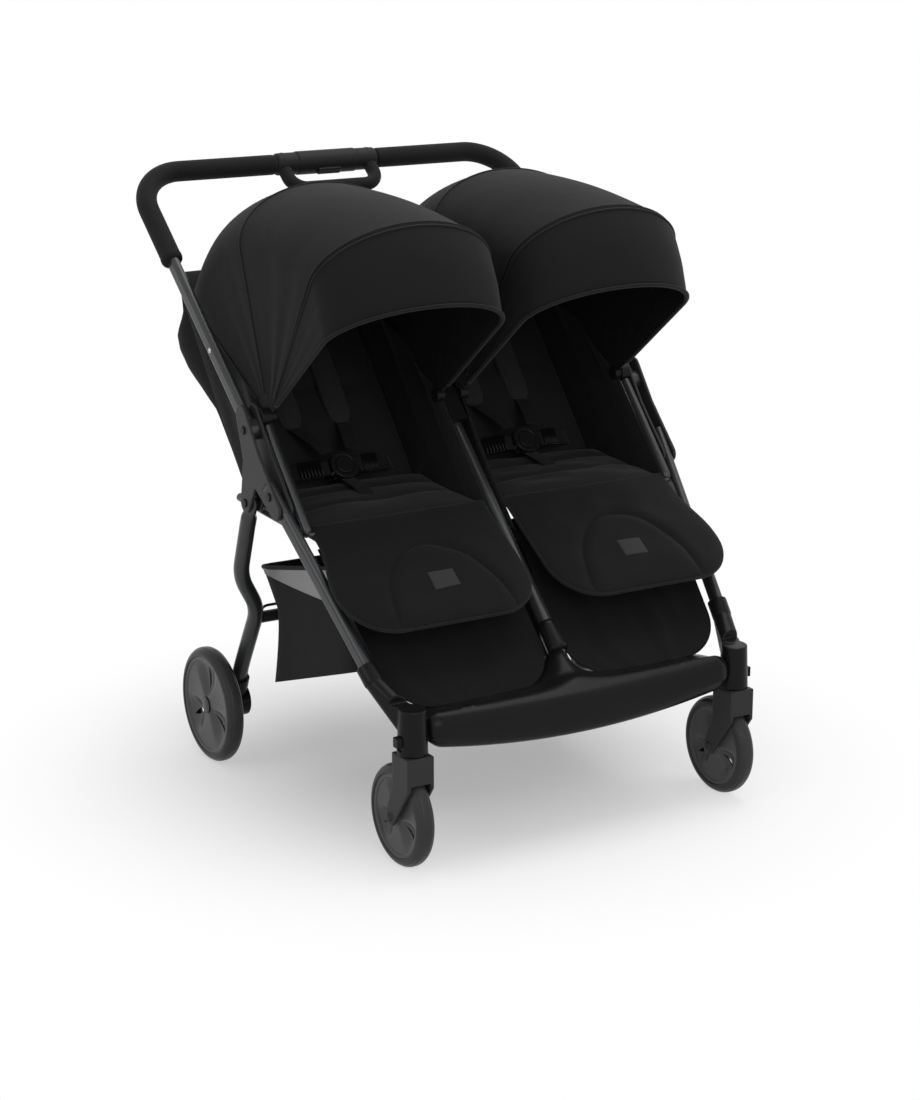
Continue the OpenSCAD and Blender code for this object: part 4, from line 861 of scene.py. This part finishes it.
def ripples(u, v, seed, waves=7, low=2.0, high=7.0):
    """Soft unevenness of stuffed cloth: a sum of sine waves in random directions, about -1 to 1."""
    pick = np.random.default_rng(seed)
    total = 0
    for _ in range(waves):
        turn, size, phase = pick.uniform(0, np.pi), pick.uniform(low, high), pick.uniform(0, 6.3)
        wave = np.sin(size * (np.cos(turn) * u + np.sin(turn) * v * 2) + phase)
        total = total + wave / waves**0.5
    return total


def stitched(distance, width, depth):
    """Groove at zero distance: a narrow pull in the middle of a wider pillow-like dip."""
    return depth * (0.6 * bell(distance, width) + 0.4 * bell(distance, 0.28 * width))


def plump(u, v):
    """Height of a stuffed slab, 0 at its rim to 1: falls off with a high power near the edges."""
    return np.sqrt(np.clip(1 - u**4, 0, 1)) * np.sqrt(np.clip(1 - (2 * v - 1) ** 6, 0, 1))


def pad_grid(n):
    """Places on a pad, closer at its rim by a sine: u from -1 to 1 across, v from 0 to 1 along."""
    u = np.sin(np.pi / 2 * np.linspace(-1, 1, n))
    v = 0.5 - 0.5 * np.cos(np.pi * np.linspace(0, 1, n))
    return np.meshgrid(u, v, indexing="ij")


def round_half(half, length, r, y):
    """Half width at a length of a slab whose far corners are rounded."""
    bend = np.sqrt(np.clip(r * r - (y - length + r) ** 2, 0, None))
    return np.where(y < length - r, half, half - r + bend)


def eased_step(v, a, b):
    """Smooth step from 0 at a to 1 at b."""
    t = np.clip((v - a) / (b - a), 0, 1)
    return t * t * (3 - 2 * t)


def edge_piping(points, radius):
    """Closed welt along the border of a grid of points."""
    path = points.reshape(-1, 3)[border(*points.shape[:2])]
    path = evenly(np.vstack([path, path[:1]]), 241)[:-1]
    t = unit(np.roll(path, -1, 0) - np.roll(path, 1, 0))
    out = path - path.mean(0)
    out = unit(out - (out * t).sum(1, keepdims=True) * t)
    rings = ringed(path, out, np.cross(t, out), radius, radius, 12)
    return rings, grid_faces(240, 12, True, True)


pad_half, rest_half, back_half = 157.2 * mm, 155.7 * mm, 151.5 * mm
rest_len, rest_t, rest_angle = 230 * mm, 28 * mm, 32.0
back_len, back_angle, back_low = 434.87 * mm, 50.0, 9 * mm
calf_half, calf_len, calf_up, calf_angle = 150.5 * mm, 275 * mm, 22 * mm, 45.0
calf_at = np.array([seat_c, -168 * mm, 437 * mm])
rest_at = np.array([seat_c, 0, 0]) + rest_hinge
pad_y = rest_hinge[1] + rest_t / 2 + 5 * mm
pad_len = 58 * mm - pad_y
base_run, base_rise = (back_hinge - rest_hinge)[1:]
base_z = rest_hinge[2] + (pad_y - rest_hinge[1]) / base_run * base_rise
base_tilt = np.degrees(np.arctan2(base_rise, base_run))
pad_u, pad_v = pad_grid(81)
swell = plump(pad_u, pad_v)
belly_at = [0, 0.14, 0.42, 0.66, 0.74, 0.80, 0.85, 0.92, 1]
belly = np.interp(pad_v, belly_at, [0, 0, 0.22, 0.9, 1, 0.9, 0.3, 0.05, 0])
pouch_deep = 60 * mm


def on_back(points):
    """From the backrest's own frame (across, up, out of its face) to the right seat."""
    return turned_x(np.asarray(points, float), back_angle, np.array([seat_c, 0, 0]) + back_hinge)


def on_rest(x, y, z):
    """From the leg rest's own frame, turned to face forward, to the right seat's hinge."""
    return turned_x(np.stack([-x, rest_t / 2 - y, z], -1), rest_angle, rest_at)


def crown(u, v, seed):
    """Height of a leg rest's face: a flat slab, a low dome on it and soft unevenness."""
    dome_like = 7 * mm * (1 - u * u) * np.sin(np.pi * np.clip(v, 0, 1)) ** 0.8
    uneven = 1.1 * mm * ripples(u * 2, v * 2, seed)
    return 3 * mm + dome_like + (9 * mm + uneven) * plump(u, v)


for side, sign, seed in (("left", mirror, 3), ("right", 1, 8)):
    y = pad_v * pad_len
    x = pad_u * pad_half * (1 - 0.05 * (1 - (2 * pad_v - 1) ** 2))
    rough = 1.6 * mm * ripples(pad_u * 2, pad_v * 2, seed) * swell
    cut = sum(stitched(y - share * pad_len, 9 * mm, 5 * mm) for share in (0.36, 0.7))
    full = 3 * mm + 14 * mm * swell
    top, low = (
        turned_x(np.stack([x, y, z], -1), base_tilt, [seat_c, pad_y, base_z]) * sign
        for z in (full - cut * swell + rough, -full)
    )
    # The seat base carries the lightened cloth: painted light.
    base = shell("seat_base_" + side, top, low, seat_cloth)
    fit(base, "chassis", "seat_pad_" + side)

    u, v = pad_grid(151)
    y = v * rest_len
    flare = np.where(u < 0, 21 * mm * eased_step(v, 0.16, 0.62), 0)
    x = u * (round_half(rest_half, rest_len, 78 * mm, y) + flare)
    full = 3 * mm + 9 * mm * plump(u, v)
    arch = np.hypot(x / (104 * mm), (rest_len - y) / (150 * mm)) - 1
    cut = stitched(arch * 95 * mm, 8 * mm, 6.5 * mm) * plump(u, v)
    top, middle, low = (
        on_rest(x, y, z) * sign for z in (crown(u, v, seed + 1) - cut, 0 * full, -full)
    )
    # The leg rest cover carries the darkened cloth: painted shade.
    cover = shell("leg_rest_cover_" + side, top, low, rest_cloth_painted_shade)
    welt = joined("leg_rest_piping_" + side, [edge_piping(middle, 3.4 * mm)], binding)
    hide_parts("leg_rest_" + side)
    for piece in (cover, welt):
        fit(piece, "footrest_" + side, None)

    k, l = np.meshgrid(np.linspace(-1, 1, 21), np.linspace(-1, 1, 21), indexing="ij")
    x, y = 22 * mm * k, 158 * mm + 16 * mm * l
    lift = 0.5 * mm + 1.0 * mm * (1 - k**12) * (1 - l**12)
    ground = crown(x / rest_half, y / rest_len, seed + 1)
    top, low = (on_rest(x, y, z) * sign for z in (ground + lift, ground - 3 * mm))
    patch = shell("leg_rest_patch_" + side, top, low, patch_cloth)
    fit(patch, "footrest_" + side, None)

    y = pad_v * (calf_len + calf_up) - calf_up
    spread = np.where(pad_u < 0, -25 * mm * pad_v, 8 * mm * eased_step(pad_v, 0, 0.62))
    x = pad_u * (round_half(calf_half, calf_len, 70 * mm, y) + spread)
    sag = -10 * mm * (1 - pad_u**2) * np.sin(np.pi * pad_v)
    sag = sag + 1.5 * mm * ripples(pad_u * 3, pad_v, seed + 2) * swell
    front, behind = (
        turned_x(np.stack([-x, -y, sag + z], -1), calf_angle, calf_at) * sign
        for z in (1.5 * mm, -1.5 * mm)
    )
    # The calf panel's front carries the darkened cloth (painted shade); its back is the lining.
    calf = shell("calf_cloth_" + side, front, behind, [rest_cloth_painted_shade, lining])
    fit(calf, "chassis", "calf_panel_" + side)

    y = pad_v * back_len
    x = pad_u * back_half * (1 - 0.04 * pad_v**2)
    full = 3 * mm + 17 * mm * swell
    cut = sum(stitched(y - share * back_len, 10 * mm, 6 * mm) for share in (0.42, 0.74))
    rough = 1.8 * mm * ripples(pad_u * 2, pad_v * 3, seed + 3) * swell
    rear = 2.5 * mm * ripples(pad_u * 3, pad_v * 3, seed + 4) * swell
    rear = rear + pouch_deep * belly * (1 - pad_u**24)
    wide = x * (1 + 0.12 * belly * (1 - np.abs(pad_u) ** 60))
    face = on_back(np.stack([x, y - back_low, full - cut * swell + rough], -1)) * sign
    pouch = on_back(np.stack([wide, y - back_low, -full - rear], -1)) * sign
    # The backrest face carries the lightened cloth (painted light); the pouch behind it is hood
    # cloth.
    cushion = shell("backrest_cover_" + side, face, pouch, [seat_cloth, hood_cloth])
    fit(cushion, "seat_back_" + side, "backrest_" + side)

    u, v = np.linspace(0, 1, 61)[:, None], np.linspace(0, 1, 41)[None, :]
    rail = hood_pivot - rest_hinge
    for name, wall_x, lean, low_share, start, deep in (
        ("outer", 332.7 * mm, -1, -0.06, -8 * mm, 7 * mm),
        ("inner", 16.3 * mm, 1, -0.2, -34 * mm, 9 * mm),
    ):
        bottom, head = rest_hinge + low_share * rail, rest_hinge + 1.02 * rail
        up = start + (424 * mm - start) * v
        edge = on_back(np.stack([0 * v, up, -1 * mm + 0 * v], -1))[..., 1:]
        narrow = 1 - 0.04 * ((up + back_low) / back_len) ** 2
        seam_x = seat_c - lean * (back_half - 0.3 * mm) * narrow
        first = (bottom * (1 - v[..., None]) + head * v[..., None])[..., 1:]
        yz = first * (1 - u[..., None]) + edge * u[..., None]
        yz = yz + np.array([0, 24 * mm]) * (np.sin(np.pi * u) * v**3)[..., None]
        hang = deep * np.sin(3 * np.pi * u + 0.6 * v) ** 2 * np.sin(np.pi / 2 * v)
        hang = hang + 7 * mm * eased_step(v, 0.75, 1) * eased_step(u, 0, 0.25)
        small = np.sin(11 * u + 3 * v) ** 2 * np.sin(np.pi * v)
        hang = hang + 1.2 * mm * small * (1 - u) * u * 4
        across = wall_x + (seam_x - wall_x) * u**3 + lean * hang * (1 - u**6)
        wall = np.concatenate([across[..., None], yz], -1) * sign
        step = np.array([0.8 * mm, 0, 0])
        hanging = shell("seat_wall_" + name + "_" + side, wall + step, wall - step, side_cloth)
        size = (wall[30, 0] - wall[30, -1], wall[0, 20] - wall[-1, 20])
        flat = tuple(1.1 * np.linalg.norm(d) for d in size)
        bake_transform(hanging)
        if name == "outer":
            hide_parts("seat_wing_" + side)


# Harness: each seat has two padded shoulder straps, a waist strap on each side with a
# ribbed adjuster, a crotch strap and a round glossy buckle with a press button.
webbing = woven("harness_webbing", (0.0075, 0.008), (0.013, 0.0135), 2.0 * mm, 0.06)
pad_cloth = woven("shoulder_pad_cloth", (0.022, 0.0225), (0.034, 0.035), 1.6 * mm, 0.08)
gloss_black = moulded("gloss_black_plastic", (0.010, 0.011), (0.016, 0.017), 0.16, 0.00003)


strap_wide, strap_thick, pad_x, pad_wide = 25 * mm, 2 * mm, 46 * mm, 22 * mm
rib_a, rib_b = np.array([1.2, 2.6, 2.6, 1.2]) * mm, np.array([1.0, 2.2, 2.2, 1.0]) * mm
buckle_up, buckle_out = 5 * mm, 66 * mm


def strap(path, ref):
    """Flat webbing along a path: ref is the way its width lies; the section is a superellipse."""
    path, ref = np.asarray(path, float), np.asarray(ref, float)
    t = unit(np.gradient(path, axis=0))
    w = unit(ref - (t @ ref)[:, None] * t)
    q = np.linspace(0, 2 * np.pi, 24, endpoint=False)[:, None]
    across = strap_wide / 2 * signed_power(np.cos(q), 0.25) * w[:, None]
    through = strap_thick / 2 * signed_power(np.sin(q), 0.6) * np.cross(t, w)[:, None]
    return capped(path[:, None] + across + through)


def eased(a, b, sag):
    """Points from a to b, with a sideways bow in the middle."""
    t = np.linspace(0, 1, 24)[:, None]
    return np.asarray(a) * (1 - t) + np.asarray(b) * t + np.asarray(sag) * np.sin(np.pi * t)


for side, sign in both:
    pads, straps, clips, ribs = [], [], [], []
    for s in (-1, 1):
        u, v = np.meshgrid(np.linspace(-1, 1, 41), np.linspace(0, 1, 61), indexing="ij")
        rim_half = pad_wide * np.clip(1 - np.abs(2 * v - 1) ** 8, 0.02, 1) ** 0.5
        height = np.clip(1 - u**4, 0, 1) ** 0.5 * np.clip(1 - (2 * v - 1) ** 8, 0, 1) ** 0.5
        seam = stitched((np.abs(u) - 0.72) * pad_wide, 2.5 * mm, 2.2 * mm)
        x, y = s * pad_x + u * rim_half, 98 * mm + 170 * mm * v
        face = on_back(np.stack([x, y, 21.6 * mm + 8.6 * mm * height - seam], -1))
        pads.append((face, on_back(np.stack([x, y, 20.4 * mm + 0 * height], -1))))
        a = [s * pad_x, 100 * mm, 25 * mm]
        b = [s * 24 * mm, buckle_up + 27 * mm, buckle_out - 3 * mm]
        straps.append(strap(on_back(eased(a, b, [0, 0, 3 * mm])), (1, 0, 0)))
        a = [s * 26 * mm, buckle_up, buckle_out - 8 * mm]
        b = [s * 111 * mm, 20 * mm, 16.5 * mm]
        waist = on_back(eased(a, b, [0, -2 * mm, 5 * mm]))
        clips.append(strap(waist, on_back([0, 1, 0]) - on_back([0, 0, 0])))
        for k in range(7):
            t = (14 + 5.2 * k) / 85
            rise = (5 * np.sin(np.pi * t) + 2.6 - 41.5 * t) * mm
            at = [s * (26 + 85 * t) * mm, buckle_up + 15 * mm * t, buckle_out - 8 * mm + rise]
            bar = on_back([np.array(at) + [0, d * mm, 0] for d in (-15, -14, 14, 15)])
            ribs.append(capped(swept(bar, rib_a, rib_b, 12, (1, 0, 0)) * sign))
    middle = [seat_c, -44 * mm, 496 * mm]
    crotch_end = on_back([0, buckle_up - 24 * mm, buckle_out - 8 * mm])
    clips.append(strap(eased(middle, crotch_end, [0, -4 * mm, 2 * mm]), (1, 0, 0)))
    for k, (face, back) in enumerate(pads):
        piece = shell(f"shoulder_pad_{side}_{k}", face * sign, back * sign, pad_cloth)
        fit(piece, "seat_back_" + side, None)
        if k == 0:
            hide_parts("shoulder_pads_" + side)
    upper = joined("shoulder_straps_" + side, [(p * sign, f) for p, f in straps], webbing)
    fit(upper, "seat_back_" + side, None)
    clips = [(p * sign, f) for p, f in clips]
    lower = joined("waist_and_crotch_straps_" + side, clips, webbing)
    fit(lower, "chassis", None)
    if side == "left":
        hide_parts("harness_straps")
    moulding("buckle_" + side, gloss_black, 1.5 * mm)
    moulding("buckle_button_" + side, gloss_black, 1.2 * mm)
    adjusters = joined("strap_adjusters_" + side, ribs, satin_black)
    fit(adjusters, "chassis", None)


# Basket: a cloth bag hung under the seats, with a bound top edge and a strip of
# grey mesh along the upper front of each side.
basket_cloth = woven("basket_cloth", (0.006, 0.0064), (0.011, 0.0115), fuzz=0.05)
grey_mesh = woven("grey_mesh", (0.22, 0.225), (0.34, 0.345), 3.0 * mm, 0.1)


def basket_points(h, q, thin=0.0):
    """Bag wall: a rounded box in plan, a superellipse of the angle q."""
    a, b = signed_power(np.cos(q), 0.22), signed_power(np.sin(q), 0.22) * 0.5 + 0.5
    return basket_side(a, b, h, thin)


def basket_side(a, b, h, thin=0.0):
    """Point of the bag: a across from -1 to 1, b from front to back, h from top to bottom. The
    front leans out, the bottom falls to the rear, the walls draw in a little between top and
    bottom, and the back is nipped in where the cross tube passes."""
    draw = 6 * mm * np.sin(np.pi * np.clip(h, 0, 1)) * np.abs(a) ** 6
    x = (295.2 * mm - thin - draw) * a
    y0 = -170 * mm - 62 * mm * h + thin
    y1 = np.interp(h, [0, 0.323, 0.467, 1], [145.1, 100.8, 100.8, 111.8]) * mm - thin
    top, low = (421 - 76 * b) * mm, (271 - 121 * b) * mm + thin
    x, y, z = np.broadcast_arrays(x, y0 * (1 - b) + y1 * b, top + (low - top) * h)
    return np.stack([x, y, z], -1)


q_line = np.linspace(0, 2 * np.pi, 160, endpoint=False)[None, :]


def bag(thin):
    """Wall rings followed by rings that shrink to the middle and close the bottom."""
    wall = basket_points(np.linspace(0, 1, 41)[:, None], q_line, thin)
    centre = wall[-1].mean(0)
    k = np.linspace(1, 0.02, 14)[1:, None, None]
    return np.concatenate([wall, centre + (wall[-1] - centre) * k])


both_skins = np.stack([bag(0), bag(3 * mm)])
n, m = both_skins.shape[1:3]
walls = grid_faces(n, m, ring_v=True)
j = np.arange(m)
rim = np.stack([j, (j + 1) % m, (j + 1) % m + n * m, j + n * m], 1)
end = (n - 1) * m + j
faces = walls.tolist() + (walls[:, ::-1] + n * m).tolist() + rim.tolist()
faces += [end.tolist(), (end[::-1] + n * m).tolist()]
sack = put("basket_bag", both_skins, faces, basket_cloth)
lay_uv(sack, both_skins.reshape(-1, 3)[:, 1:])
recalculated(sack)
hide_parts("basket")
soft = [sack]
mesh_from, mesh_to = 0.04, 0.87
for s, side in ((-1, "left"), (1, "right")):
    b, w = np.linspace(mesh_from, mesh_to, 60)[:, None], np.linspace(0, 1, 12)[None, :]
    depth = 0.05 + 0.42 * (mesh_to - b)
    strip = basket_side(s * np.ones((60, 12)), b + 0 * w, w * depth)
    step = np.array([s * 0.6 * mm, 0, 0])
    window = shell("basket_mesh_" + side, strip + 2 * step, strip + step, grey_mesh)
    soft.append(window)
rim_line = basket_points(np.zeros((1, 160)), q_line)[0]
path = np.vstack([rim_line, rim_line[:1]])
tape = swept(path, 4 * mm, 2.6 * mm, 12, (1, 0.01, 0.3))
tape = joined("basket_binding", [(tape, grid_faces(161, 12, ring_v=True))], binding)
for piece in [*soft, tape]:
    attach(piece, "chassis")
    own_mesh(piece)


# Brake cable: a thin black sleeve between the two brake housings. It is held all
# the way, so it keeps the shape that it has in CAD.
dress("brake_cable", satin_black)
